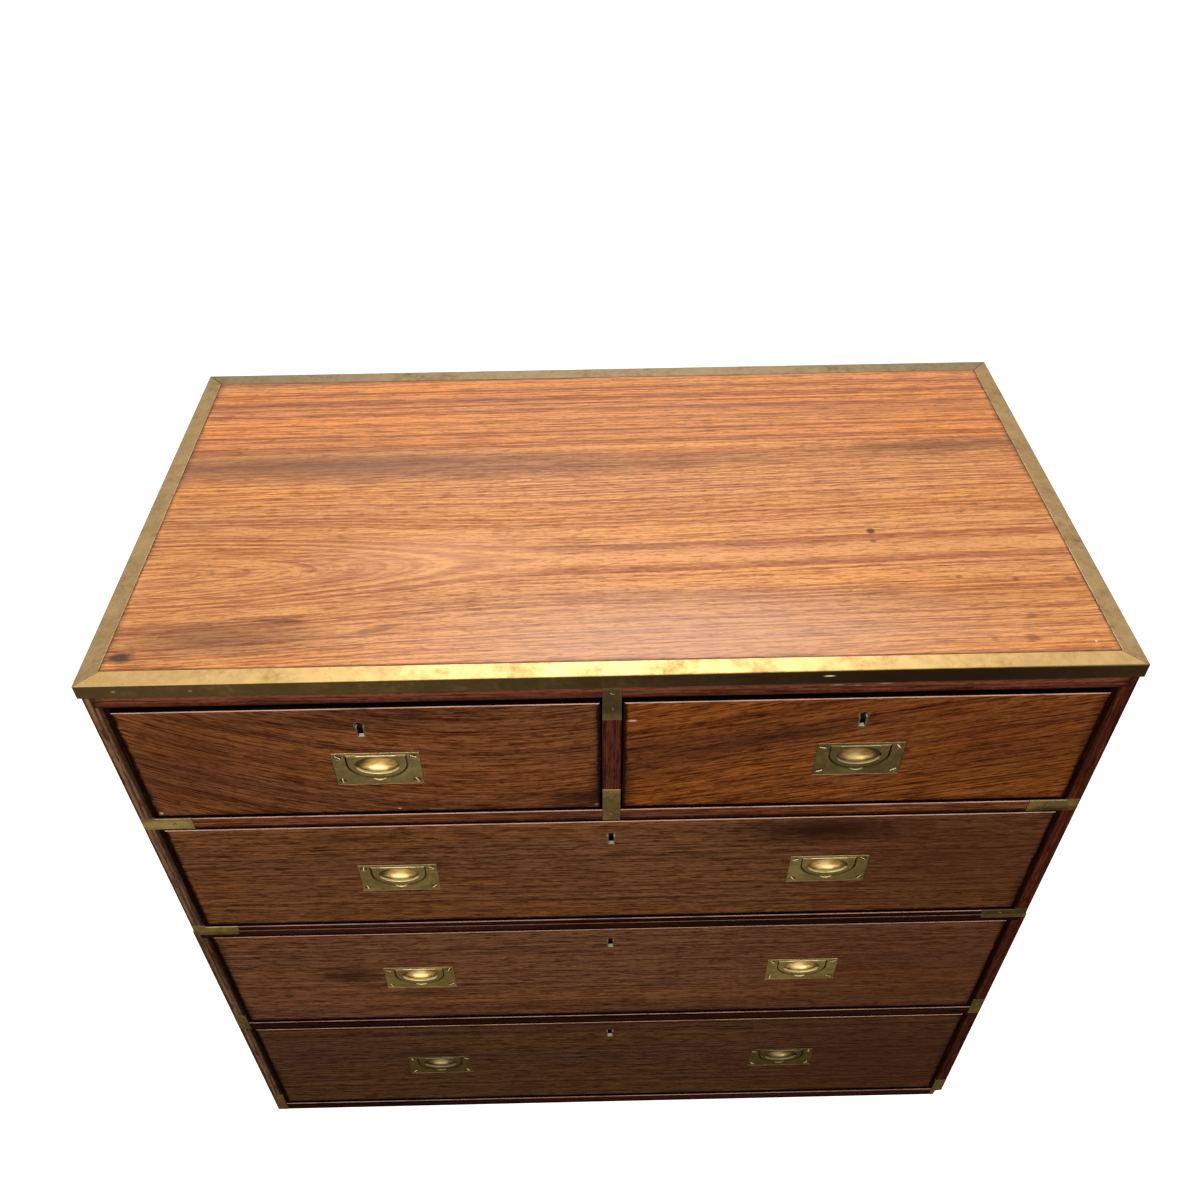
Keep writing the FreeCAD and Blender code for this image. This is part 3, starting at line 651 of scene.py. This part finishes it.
liningLook = like(chestWood, order="YZX", light=paint(186, 140, 96), deep=paint(142, 98, 62),
                  streak=paint(120, 80, 52), gloss=0.2, roughness=0.6, grime=0, lineWidth=4, bump=0.4)
liningWood = woodMaterial("liningWood", liningLook)
panelWood = woodMaterial("panelWood", like(
    liningLook, order="XYZ", light=paint(178, 132, 90), pith=(-100, -60)))

for name, board in frontBoards.items():
    node = "drawer_" + name + "_front"
    dress(node, woodMaterial("front_" + name, board["look"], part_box(node), board["marks"]))
    dress("drawer_" + name + "_sides_and_back", liningWood)
    dress("drawer_" + name + "_bottom", panelWood)
print("drawers stained")


# the two cases
caseSideLook = like(chestWood, order="ZYX", light=paint(148, 88, 52), deep=paint(88, 46, 28),
                    streak=paint(92, 50, 36), lineWidth=3, wander=14, grimeWidths=(3, 2, 2), grime=0.5)
caseBoards = {
    "upper_side_left": like(caseSideLook, light=paint(182, 137, 104), deep=paint(110, 80, 62)),
    "upper_side_right": like(caseSideLook, light=paint(150, 72, 45),
                             deep=paint(90, 40, 26), shift=(0, 250, 0)),
    "lower_side_left": like(caseSideLook, light=paint(171, 129, 99),
                            deep=paint(103, 76, 59), shift=(700, 0, 0)),
    "lower_side_right": like(caseSideLook, light=paint(144, 70, 44),
                             deep=paint(86, 40, 26), shift=(700, 250, 0)),
    "centre_stile": like(caseSideLook, light=paint(110, 57, 39),
                         deep=paint(68, 30, 21), grime=0.3, lineWidth=2),
}
railLook = like(chestWood, light=paint(141, 85, 54), deep=paint(86, 47, 28), streak=paint(80, 42, 30),
                lineWidth=2, wander=6, grimeWidths=(5, 3.8, 0.1), grime=0.95, arris=0.8)
lowRailLook = like(railLook, light=paint(47, 23, 14), deep=paint(27, 13, 9), arrisColour=paint(196, 146, 122))
railBoards = {
    "top_rail": like(railLook, light=paint(129, 72, 50), deep=paint(78, 38, 28), grime=0.6),
    "upper_drawer_rail": like(railLook, shift=(200, 0, 0)),
    "upper_bottom_board": like(lowRailLook, shift=(-300, 100, 0)),
    "lower_top_board": like(lowRailLook, shift=(500, 0, 0)),
    "lower_drawer_rail": like(lowRailLook, shift=(100, 60, 0)),
    "base_board": like(lowRailLook, shift=(50, 90, 0)),
}
railMarks = [    # bare scratches under the edging
    {"at": (212, 943, -260), "size": (9, 0.9, 40), "strength": 0.75, "colour": paint(168, 146, 126)},
    {"at": (232, 942, -260), "size": (6, 0.8, 40), "strength": 0.6, "colour": paint(168, 146, 126)},
    {"at": (258, 944, -260), "size": (9, 0.9, 40), "strength": 0.7, "colour": paint(168, 146, 126)},
]
for node, look in {**caseBoards, **railBoards}.items():
    low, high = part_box(node)
    marks = railMarks if node == "top_rail" else []
    if "_side_" in node:    # along Z, across Y and through X: painted shadow on the inner face by the drawers' ends
        inner = high.x if high.x < 0 else low.x
        marks = [{"at": (500, -262, inner / mm), "size": (2000, 60, 4), "strength": 0.9, "soft": 1.0,
                  "ragged": 0.9, "colour": look["grimeColour"]}]
    dress(node, woodMaterial(node, look, (low, high), marks))
    easeArrises(node, 0.9)
easeArrises("top_board", 0.4)

backLook = like(chestWood, light=paint(140, 96, 66), deep=paint(96, 60, 42), streak=paint(74, 46, 36),
                lineWidth=6, wander=22, gloss=0.1, roughness=0.7, grimeWidths=(30, 18, 18), grime=0.5)
for node, shift in {"upper_back_panel": (0, 0, 0), "lower_back_panel": (600, 200, 0)}.items():
    dress(node, woodMaterial(node, like(backLook, shift=shift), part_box(node)))
    easeArrises(node, 0.6)

oakLook = like(chestWood, order="YXZ", light=paint(190, 152, 104), deep=paint(150, 112, 72),
               streak=paint(130, 96, 64), gloss=0.15, roughness=0.65, grime=0, lineWidth=3)
oak = woodMaterial("oak", oakLook)
for node in ("upper_runners", "lower_runners", "centre_partition", "locating_pegs"):
    dress(node, oak)
print("cases stained")


# brass finishes
brassLook = {
    "rubbed": paint(196, 166, 96), "dull": paint(150, 126, 72), "dark": paint(66, 52, 32),
    "rub": 0.5, "specks": 0.5, "along": (40, 40, 700), "metallic": 0.95, "roughness": 0.34, "bump": 0.12,
    "upright": None, "upMetallic": 0.95, "grimeDepth": 0, "bowlFrom": 3.9, "bowlColour": None,
    "pullOutline": (30.6, 13, 22.6), "sootBand": (0.042, 0.016), "sootTop": (2.5, 1),
    "shineAt": (0, 8, -26), "shineSize": (23, 400, 11), "glintAt": (0, 8, -27), "glintSize": (14, 400, 4),
    "bowlDark": paint(82, 60, 32), "bowlGlint": paint(240, 214, 150), "slantTint": (0.5, 0.46, 0.4, 1),
}


def skinOf(tree, place, look, tones):
    return useGroup(tree, patina, {
        "Place": place, "Rubbed": tones["rubbed"], "Dull": tones["dull"], "Dark": tones["dark"],
        "Rub": tones["rub"], "Specks": look["specks"], "Along": look["along"],
    })


# painted light on a handle: a painted shadow line along the gap round the pull, painted shade deeper in the
# recess, and in the bowl a painted shadow above with a painted sheen and glint below
def addHandleGrime(tree, look, color):    # the mesh's own attribute gives each point's place from the hinge
    attribute = tree.nodes.new("ShaderNodeAttribute")
    attribute.attribute_name = "fromHinge"
    local = attribute.outputs["Vector"]
    across, depth, height = parts(tree, local)
    halfWidth, shoulder, bow = (size * mm for size in look["pullOutline"])
    below = calc(tree, "MAXIMUM", calc(tree, "SUBTRACT", -shoulder, height), 0)
    sideways = calc(tree, "DIVIDE", across, halfWidth)
    downwards = calc(tree, "DIVIDE", below, bow)
    outline = calc(tree, "SQRT", calc(tree, "ADD", calc(tree, "MULTIPLY", sideways, sideways),
                                      calc(tree, "MULTIPLY", downwards, downwards)))
    soot = rise(tree, calc(tree, "ABSOLUTE", calc(tree, "SUBTRACT", outline, 1)), *look["sootBand"])
    soot = calc(tree, "MULTIPLY", soot, rise(tree, height, *scaled(look["sootTop"])))
    color = blend(tree, calc(tree, "MULTIPLY", soot, 0.8), color, look["dark"])
    sunk = rise(tree, depth, 0.3 * mm, look["grimeDepth"] * mm)
    color = blend(tree, calc(tree, "MULTIPLY", sunk, 0.85), color, look["dark"])
    if look["bowlColour"]:
        inBowl = rise(tree, depth, look["bowlFrom"] * mm, (look["bowlFrom"] + 0.4) * mm)
        shine = spotMask(tree, local, look["shineAt"], look["shineSize"], 1, soft=0.8, ragged=0.9)
        glint = spotMask(tree, local, look["glintAt"], look["glintSize"], 0.6, soft=0.6, ragged=2.2)
        bowl = blend(tree, shine, look["bowlDark"], look["bowlColour"])
        bowl = blend(tree, glint, bowl, look["bowlGlint"])
        color = blend(tree, inBowl, color, bowl)
    return color


def brassMaterial(name, look, marks=()):
    material, tree, shader = newMaterial(name)
    place = tree.nodes.new("ShaderNodeTexCoord").outputs["Object"]
    skin = skinOf(tree, place, look, look)
    color = skin["Color"]
    shader.inputs["Metallic"].default_value = look["metallic"]
    shader.inputs["Specular Tint"].default_value = look["slantTint"]
    # upright faces take darker tones, a painted shade; faces turned up to the lamps keep the light tones
    if look["upright"]:
        standing = skinOf(tree, place, look, look["upright"])
        mask = useGroup(tree, turnedUp, {"Low": 0.12, "High": 0.6})["Mask"]
        color = blend(tree, mask, standing["Color"], color)
        if look["upMetallic"] != look["metallic"]:
            change = calc(tree, "MULTIPLY", mask, look["upMetallic"] - look["metallic"])
            feed(tree, shader.inputs["Metallic"], calc(tree, "ADD", change, look["metallic"]))
    if look["grimeDepth"]:
        color = addHandleGrime(tree, look, color)
    color = addMarks(tree, place, color, marks)
    feed(tree, shader.inputs["Base Color"], color)
    rough = calc(tree, "ADD", look["roughness"], calc(tree, "MULTIPLY", skin["Tarnish"], 0.16))
    feed(tree, shader.inputs["Roughness"], rough)
    addBump(tree, shader, skin["Height"], look["bump"], 0.15)
    return material


edgingLook = like(
    brassLook, rubbed=paint(206, 169, 110), dull=paint(184, 150, 92), dark=paint(148, 118, 70), rub=0.55,
    along=(60, 60, 60), specks=0.3, upright={"rubbed": paint(94, 74, 42), "dull": paint(70, 54, 30),
                                             "dark": paint(44, 31, 16), "rub": 0.4})
edgingMarks = [
    {"at": (300, -262.5, 956), "size": (660, 2.4, 90), "strength": 1.0, "soft": 1.0, "ragged": 0.2,
     "colour": paint(30, 19, 10)},
    {"at": (-463.6, -262, 957), "size": (2.6, 8, 2.2), "strength": 0.5, "colour": paint(150, 128, 84)},
    {"at": (-392.5, -262, 956), "size": (2.6, 8, 2), "strength": 0.4, "colour": paint(150, 128, 84)},
    {"at": (-433.8, -262, 947.6), "size": (3.4, 8, 1.2), "strength": 0.5, "colour": paint(150, 128, 84)},
    {"at": (438, -262, 940), "size": (2.6, 8, 2.4), "strength": 0.5, "colour": paint(150, 128, 84)},
    {"at": (202.5, -262, 958.7), "size": (7, 8, 1.2), "strength": 0.9, "colour": paint(214, 196, 160)},
    {"at": (232.8, -262, 943.7), "size": (4, 8, 1), "strength": 0.9, "colour": paint(214, 196, 160)},
]
edgingFrontBrass = brassMaterial("edgingFrontBrass", edgingLook, edgingMarks)
# the side and back strips are darker copies of the front's brass: painted shade
edgingSideBrass = brassMaterial("edgingSideBrass", like(
    edgingLook, rubbed=paint(172, 142, 99), dull=paint(142, 115, 78), dark=paint(88, 68, 45)))
edgingBackBrass = brassMaterial("edgingBackBrass", like(
    edgingLook, rubbed=paint(152, 131, 100), dull=paint(128, 107, 76), dark=paint(92, 74, 50)))
strapLook = like(
    brassLook, rubbed=paint(200, 172, 100), dull=paint(160, 136, 80), dark=paint(80, 64, 38), rub=0.6,
    upMetallic=0.4,
    upright={"rubbed": paint(112, 92, 54), "dull": paint(81, 66, 39), "dark": paint(46, 37, 23), "rub": 0.45})
handleLook = like(
    brassLook, rubbed=paint(238, 212, 150), dull=paint(206, 180, 118), dark=paint(34, 26, 14), rub=0.6,
    upMetallic=0.3, grimeDepth=1.6, specks=0.4,
    upright={"rubbed": paint(115, 98, 58), "dull": paint(89, 75, 43), "dark": paint(49, 41, 25), "rub": 0.45})
bowlLook = like(handleLook, upright=None, roughness=0.46, metallic=0.8, bowlColour=paint(202, 162, 90))
screwBrass = brassMaterial("screwBrass", like(
    brassLook, rubbed=paint(84, 66, 36), dull=paint(58, 44, 24), dark=paint(30, 22, 12), rub=0.5))
# the screw slots' floors are painted bright: a painted glint
slotBrass = brassMaterial("slotBrass", like(
    brassLook, rubbed=paint(236, 214, 160), dull=paint(206, 178, 122), rub=0.6, metallic=0.3))
# the lock's turned-up faces are pale, a painted highlight at the keyhole's foot; its upright faces take
# painted shade
lockBrass = brassMaterial("lockBrass", like(
    brassLook, rubbed=paint(216, 206, 182), dull=paint(176, 164, 136), dark=paint(50, 42, 30), rub=0.5,
    roughness=0.4, upMetallic=0.2, upright={"rubbed": paint(112, 97, 66), "dull": paint(84, 71, 46),
                                            "dark": paint(30, 24, 15), "rub": 0.4}))


def dimmed(look, level):    # the same brass, darker all over: painted shade
    darker = like(look)
    for key in ("rubbed", "dull", "dark", "bowlDark", "bowlGlint", "bowlColour"):
        if look.get(key):
            darker[key] = tuple(channel * level for channel in look[key][:3]) + (1,)
    if look.get("upright"):
        darker["upright"] = dimmed(look["upright"], level)
    return darker


# each drawer's handles get a darker copy of one brass: painted shade, darkest on the bottom drawer, with
# uneven patina
handleLevels = {"top_left": 0.98, "top_right": 0.55, "second": 0.92, "third": 1, "bottom": 0.32}
handleFinishes = {}
for name, level in handleLevels.items():
    look = dimmed(handleLook, level)
    handleFinishes[name] = {
        "plate": brassMaterial("plateBrass_" + name, look),
        "bowl": brassMaterial("bowlBrass_" + name, dimmed(bowlLook, level)),
        "pull": brassMaterial("pullBrass_" + name, like(look, grimeDepth=0)),
    }

for name in frontBoards:
    dress("drawer_" + name + "_lock", lockBrass)
    dress("drawer_" + name + "_lock_bolt", lockBrass)
strapMarks = [
    {"at": (-470, -262.5, 741), "size": (60, 6, 14), "strength": 0.6, "soft": 0.7, "ragged": 0.5,
     "colour": paint(150, 128, 78)},
    {"at": (1.5, -262.5, 925), "size": (40, 6, 34), "strength": 0.8, "soft": 0.5, "ragged": 0.3,
     "colour": paint(44, 34, 20)},
    {"at": (1.5, -262.5, 745), "size": (40, 6, 60), "strength": 0.35, "soft": 0.5, "ragged": 0.3,
     "colour": paint(58, 40, 24)},
    {"at": (480, -262.5, 530), "size": (120, 6, 60), "strength": 0.75, "soft": 0.5, "ragged": 0.3,
     "colour": paint(30, 20, 12)},
    {"at": (470, -262.5, 734), "size": (60, 6, 9), "strength": 0.85, "soft": 0.7, "ragged": 0.5,
     "colour": paint(34, 22, 13)},
]
dress("upper_brass_straps", brassMaterial("upperStrapBrass", strapLook, strapMarks))
# the lower case's straps are a darker copy: painted shade
dress("lower_brass_straps", brassMaterial("lowerStrapBrass", dimmed(strapLook, 0.66)))
for node in ("upper_brass_straps", "lower_brass_straps"):
    easeArrises(node, 0.3)
print("brass coloured")


# modelling helpers
def selectOnly(*pieces):
    bpy.ops.object.select_all(action="DESELECT")
    for piece in pieces:
        piece.select_set(True)
    bpy.context.view_layer.objects.active = pieces[0]


def settle(piece):    # the object's place, turn and size go into its mesh
    selectOnly(piece)
    bpy.ops.object.transform_apply(location=True, rotation=True, scale=True)
    return piece


def block(low, high):
    low, high = Vector(scaled(low)), Vector(scaled(high))
    bpy.ops.object.select_all(action="DESELECT")
    bpy.ops.mesh.primitive_cube_add(size=1, location=(low + high) / 2)
    bpy.context.object.scale = high - low
    return settle(bpy.context.object)


def disc(centre, radius, depth, corners=32):    # round bar lying along Y
    bpy.ops.object.select_all(action="DESELECT")
    bpy.ops.mesh.primitive_cylinder_add(vertices=corners, radius=radius * mm, depth=depth * mm,
                                        location=scaled(centre), rotation=(math.pi / 2, 0, 0))
    return settle(bpy.context.object)


def apply(piece, kind, **settings):
    modifier = piece.modifiers.new(kind.lower(), kind)
    for name, value in settings.items():
        setattr(modifier, name, value)
    selectOnly(piece)
    bpy.ops.object.modifier_apply(modifier=modifier.name)


def carve(piece, tool, operation="DIFFERENCE"):
    apply(piece, "BOOLEAN", operation=operation, object=tool, solver="EXACT")
    bpy.data.objects.remove(tool)


def selectFaces(piece, chosen):    # leaves the piece in edit mode with only those faces selected
    bpy.ops.object.mode_set(mode="EDIT")
    bpy.ops.mesh.select_mode(type="FACE")
    bpy.ops.mesh.select_all(action="DESELECT")
    bpy.ops.object.mode_set(mode="OBJECT")
    for face in piece.data.polygons:
        face.select = chosen(face)
    bpy.ops.object.mode_set(mode="EDIT")


def mergeFlats(piece):    # slivers that the cuts leave in a flat face go back into it
    selectOnly(piece)
    bpy.ops.object.mode_set(mode="EDIT")
    bpy.ops.mesh.select_all(action="SELECT")
    bpy.ops.mesh.remove_doubles(threshold=0.01 * mm)
    bpy.ops.mesh.dissolve_limited(angle_limit=math.radians(0.3))
    bpy.ops.object.mode_set(mode="OBJECT")


def soften(piece, width, angle=35, segments=3):
    apply(piece, "BEVEL", width=width * mm, segments=segments, limit_method="ANGLE",
          angle_limit=math.radians(angle))


def join(name, pieces):
    selectOnly(*pieces)
    if len(pieces) > 1:
        bpy.ops.object.join()
    whole = bpy.context.object
    whole.name = name
    whole.data.name = name
    return whole


def copyTo(piece, offset):
    copy = piece.copy()
    copy.data = piece.data.copy()
    bpy.context.scene.collection.objects.link(copy)
    copy.data.transform(Matrix.Translation(offset))
    return copy


def smooth(piece, angle=35):    # faces square to the chest stay flat between their rounded edges
    selectOnly(piece)
    bpy.ops.object.shade_smooth_by_angle(angle=math.radians(angle))
    for face in piece.data.polygons:
        face.use_smooth = max(abs(side) for side in face.normal) < 0.9999
    apply(piece, "WEIGHTED_NORMAL", keep_sharp=True)


def paintWith(piece, *materials):
    piece.data.materials.clear()
    for material in materials:
        piece.data.materials.append(material)


# brass edging: four mitred angles
edging = {"flange": 18.7, "thickness": 2.5, "height": 17, "arris": 0.45, "mitreGap": 0.22}


def edgingStrip(length, reach, top, turn, brass):
    half = length / 2
    strip = block((-half, -reach, top - edging["height"]),
                  (half, -reach + edging["thickness"], top - edging["thickness"]))
    selectFaces(strip, lambda face: face.normal.z > 0.9)
    bpy.ops.mesh.extrude_region_move(TRANSFORM_OT_translate={"value": (0, 0, edging["thickness"] * mm)})
    lip = (top - edging["thickness"]) * mm
    selectFaces(strip, lambda face: face.normal.y > 0.9 and face.center.z > lip)
    inward = (edging["flange"] - edging["thickness"]) * mm
    bpy.ops.mesh.extrude_region_move(TRANSFORM_OT_translate={"value": (0, inward, 0)})
    for hand in (-1, 1):
        bpy.ops.mesh.select_all(action="SELECT")
        corner = scaled((hand * (half - edging["mitreGap"]), -reach, top))
        bpy.ops.mesh.bisect(plane_co=corner, plane_no=(hand, 1, 0), use_fill=True, clear_outer=True)
    bpy.ops.object.mode_set(mode="OBJECT")
    soften(strip, edging["arris"], segments=2)
    strip.rotation_euler = (0, 0, math.radians(turn))
    settle(strip)
    smooth(strip)
    paintWith(strip, brass)
    return strip


def makeEdging():
    low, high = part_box("top_brass_edging")
    width, depth, top = (high.x - low.x) / mm, (high.y - low.y) / mm, high.z / mm
    whole = join("brass_edging", [
        edgingStrip(width, depth / 2, top, 0, edgingFrontBrass),
        edgingStrip(depth, width / 2, top, 90, edgingSideBrass),
        edgingStrip(width, depth / 2, top, 180, edgingBackBrass),
        edgingStrip(depth, width / 2, top, 270, edgingSideBrass),
    ])
    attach(whole, "upper_case")
    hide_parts("top_brass_edging")


makeEdging()
print("edging modelled")


# flush handles, modelled once about their hinge line with the plate's face at y 0
plate = {
    "width": 89, "height": 51, "thickness": 5.5, "hingeDrop": 5.5, "arris": 0.7, "rim": 0.25,
    "recess": 3.9, "play": 0.5, "bowlHalf": (26, 9.5, 15), "bowlWall": 1.6, "bowlDrop": 15.5,
    "screwInset": (6.4, 6.6), "screwRadius": 3.5, "scoop": (8.6, 1.5, 8.6), "scoopLift": 4.8,
}
ring = {
    "setBack": 0.4, "thickness": 3, "halfWidth": 30, "shoulder": 13, "bow": 22, "arris": 0.8,
    "eye": (22.3, 13.2), "eyeDrop": 15.5, "pinRadius": 1.45, "pinReach": 33, "knuckle": 10,
}
screwTurns = {
    "top_left": [(38, 20, 84, 66)], "top_right": [(12, 55, 160, 150)],
    "second": [(100, 30, 75, 140), (170, 35, 60, 125)], "third": [(20, 110, 65, 150), (45, 160, 100, 10)],
    "bottom": [(80, 25, 130, 60), (15, 95, 40, 120)],
}


def dBlank(grow, front, back):    # D outline: square shoulders over an oval bow
    halfWidth, bow = ring["halfWidth"] + grow, ring["bow"] + grow
    low = -ring["shoulder"]
    top = ring["pinRadius"] + grow if grow else 0
    blank = disc((0, (front + back) / 2, 0), halfWidth, back - front, 72)
    blank.scale = (1, 1, bow / halfWidth)
    blank.location = scaled((0, 0, low))
    settle(blank)
    bpy.ops.object.mode_set(mode="EDIT")
    bpy.ops.mesh.select_mode(type="FACE")
    bpy.ops.mesh.select_all(action="SELECT")
    bpy.ops.mesh.bisect(plane_co=scaled((0, 0, low)), plane_no=(0, 0, 1), use_fill=True, clear_outer=True)
    selectFaces(blank, lambda face: face.normal.z > 0.9)
    bpy.ops.mesh.extrude_region_move(TRANSFORM_OT_translate={"value": (0, 0, (top - low) * mm)})
    bpy.ops.object.mode_set(mode="OBJECT")
    mergeFlats(blank)
    return blank


def oval(centre, half, segments=48):
    bpy.ops.object.select_all(action="DESELECT")
    bpy.ops.mesh.primitive_uv_sphere_add(segments=segments, ring_count=segments // 2, radius=1,
                                         location=scaled(centre))
    bpy.context.object.scale = scaled(half)
    return settle(bpy.context.object)


def modelPlate():
    halfWidth = plate["width"] / 2
    top = plate["hingeDrop"]
    foot = top - plate["height"]
    piece = block((-halfWidth, 0, foot), (halfWidth, plate["thickness"], top))
    soften(piece, plate["arris"])
    halfX, depth, halfZ = plate["bowlHalf"]
    wall = plate["bowlWall"]
    bowlCentre = (0, plate["recess"], -plate["bowlDrop"])
    shell = oval(bowlCentre, (halfX + wall, depth + wall, halfZ + wall))
    carve(piece, shell, "UNION")
    carve(piece, block((-halfWidth - 1, -20, foot - 1), (halfWidth + 1, 0, top + 1)))
    carve(piece, oval(bowlCentre, plate["bowlHalf"]))
    carve(piece, dBlank(plate["play"], -1, plate["recess"]))
    scoopX, scoopY, scoopZ = plate["scoop"]
    scoopAt = (0, 0, plate["scoopLift"] - ring["shoulder"] - ring["bow"])
    carve(piece, oval(scoopAt, (scoopX, scoopY, scoopZ), 32))
    for x, z in screwPlaces():
        carve(piece, disc((x, 0, z), plate["screwRadius"] + 0.35, 2.4))
    mergeFlats(piece)
    soften(piece, plate["rim"], angle=40, segments=2)
    return piece


def screwPlaces():
    insetX, insetZ = plate["screwInset"]
    top = plate["hingeDrop"]
    xs = (-plate["width"] / 2 + insetX, plate["width"] / 2 - insetX)
    zs = (top - insetZ, top - plate["height"] + insetZ)
    return [(x, z) for z in zs for x in xs]


def modelScrew(radius, rise):    # slotted head on the origin, its rim at y 0
    head = disc((0, 0.8 - rise, 0), radius, 1.6, 28)
    soften(head, 0.5, angle=60, segments=3)
    slotFloor = 0.7 - rise
    carve(head, block((-radius - 1, -3, -radius * 0.14), (radius + 1, slotFloor, radius * 0.14)))
    soften(head, 0.12, angle=60, segments=1)
    smooth(head)
    paintWith(head, screwBrass, slotBrass)
    for face in head.data.polygons:
        inSlot = face.center.y > -rise * mm and abs(face.center.z) < radius * 0.16 * mm
        onFloor = face.normal.y < 0.5 and face.center.y < (slotFloor + 0.01) * mm
        face.material_index = 1 if inSlot and onFloor else 0
    return head


def modelBail():
    front = ring["setBack"]
    back = front + ring["thickness"]
    piece = dBlank(0, front, back)
    eye = disc((0, 0, 0), 1, 20, 72)
    eye.scale = (ring["eye"][0], 1, ring["eye"][1])
    eye.location = scaled((0, 0, -ring["eyeDrop"]))
    carve(piece, settle(eye))
    soften(piece, ring["arris"])
    for hand in (-1, 1):
        length = ring["pinReach"] - ring["halfWidth"] + ring["knuckle"]
        middle = hand * (ring["pinReach"] - length / 2)
        bpy.ops.object.select_all(action="DESELECT")
        bpy.ops.mesh.primitive_cylinder_add(
            vertices=28, radius=ring["pinRadius"] * mm, depth=length * mm, rotation=(0, math.pi / 2, 0),
            location=scaled((middle, front + ring["thickness"] / 2, 0)))
        pin = settle(bpy.context.object)
        soften(pin, 0.25, segments=2)
        carve(piece, pin, "UNION")
    return piece


def handlePlace(bailNode):    # centre of the hinge line, on the plane of the plate's face
    low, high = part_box(bailNode)
    return Vector(((low.x + high.x) / 2, low.y - ring["setBack"] * mm, high.z - ring["pinRadius"] * mm))


def keepPlace(piece):    # each point's place from the hinge stays with it when the model is copied
    fromHinge = piece.data.attributes.new("fromHinge", "FLOAT_VECTOR", "POINT")
    for point, record in zip(piece.data.vertices, fromHinge.data):
        record.vector = point.co


def makeHandles():
    plateModel, bailModel = modelPlate(), modelBail()
    screwModel = modelScrew(plate["screwRadius"], 0.1)
    bowlBack = plate["recess"] * mm + 0.0001
    for piece in (plateModel, bailModel):
        smooth(piece)
    keepPlace(plateModel)
    for name, turns in screwTurns.items():
        drawer = "drawer_" + name
        finish = handleFinishes[name]
        paintWith(plateModel, finish["plate"], finish["bowl"])
        for face in plateModel.data.polygons:
            face.material_index = 1 if face.center.y > bowlBack and face.normal.y < 0 else 0
        paintWith(bailModel, finish["pull"])
        labels = [""] if len(turns) == 1 else ["_left", "_right"]
        places = [handlePlace(drawer + "_bail" + label) for label in labels]
        whole = join(drawer + "_plates", [copyTo(plateModel, place) for place in places])
        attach(whole, drawer)
        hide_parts(drawer + "_handle_plates")
        heads = []
        for place, angles in zip(places, turns):
            for (x, z), angle in zip(screwPlaces(), angles):
                head = copyTo(screwModel, (0, 0, 0))
                turn = Matrix.Rotation(math.radians(angle), 4, "Y")
                head.data.transform(Matrix.Translation(place + Vector(scaled((x, 0, z)))) @ turn)
                heads.append(head)
        screws = join(drawer + "_handle_screws", heads)
        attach(screws, drawer)
        for place, label in zip(places, labels):
            bail = join(drawer + "_pull" + label, [copyTo(bailModel, place)])
            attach(bail, "bail_" + name + label)
            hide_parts(drawer + "_bail" + label)
    for model in (plateModel, bailModel, screwModel):
        bpy.data.objects.remove(model)


makeHandles()
print("handles modelled")


# screws in the straps
strapScrews = {
    "radius": 2.3, "rise": 0.15,
    "upper_case": [(0.3, 937, 20), (0.8, 915, 70), (0, 771.5, 95), (0, 743, 60),
                   (-463, 741.5, 40), (463, 741.5, 115), (-466, 525, 80), (466, 525, 25)],
    "lower_case": [(-491, 292, 35), (491, 292, 120), (-491, 274, 100), (491, 274, 60),
                   (-491, 40, 15), (491, 40, 75), (-491, 12, 130)],
}


def makeStrapScrews():
    model = modelScrew(strapScrews["radius"], strapScrews["rise"])
    for body, strap in (("upper_case", "upper_brass_straps"), ("lower_case", "lower_brass_straps")):
        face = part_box(strap)[0].y
        heads = []
        for x, z, angle in strapScrews[body]:
            head = copyTo(model, (0, 0, 0))
            turn = Matrix.Rotation(math.radians(angle), 4, "Y")
            head.data.transform(Matrix.Translation((x * mm, face, z * mm)) @ turn)
            heads.append(head)
        screws = join(body + "_strap_screws", heads)
        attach(screws, body)
    bpy.data.objects.remove(model)


makeStrapScrews()
print("strap screws modelled")

makeCamera()
makeLamp("overhead", studio["overheadPlace"], studio["overheadSize"], studio["overheadPower"], (0, 0, 965))
makeLamp("rear", studio["rearPlace"], studio["rearSize"], studio["rearPower"], (0, 0, 965))
makeLamp("front", studio["frontPlace"], studio["frontSize"], studio["frontPower"], (0, 0, 500))
makeWorld()
makeFloor()
bpy.context.scene.view_settings.view_transform = "Standard"
print("studio set")
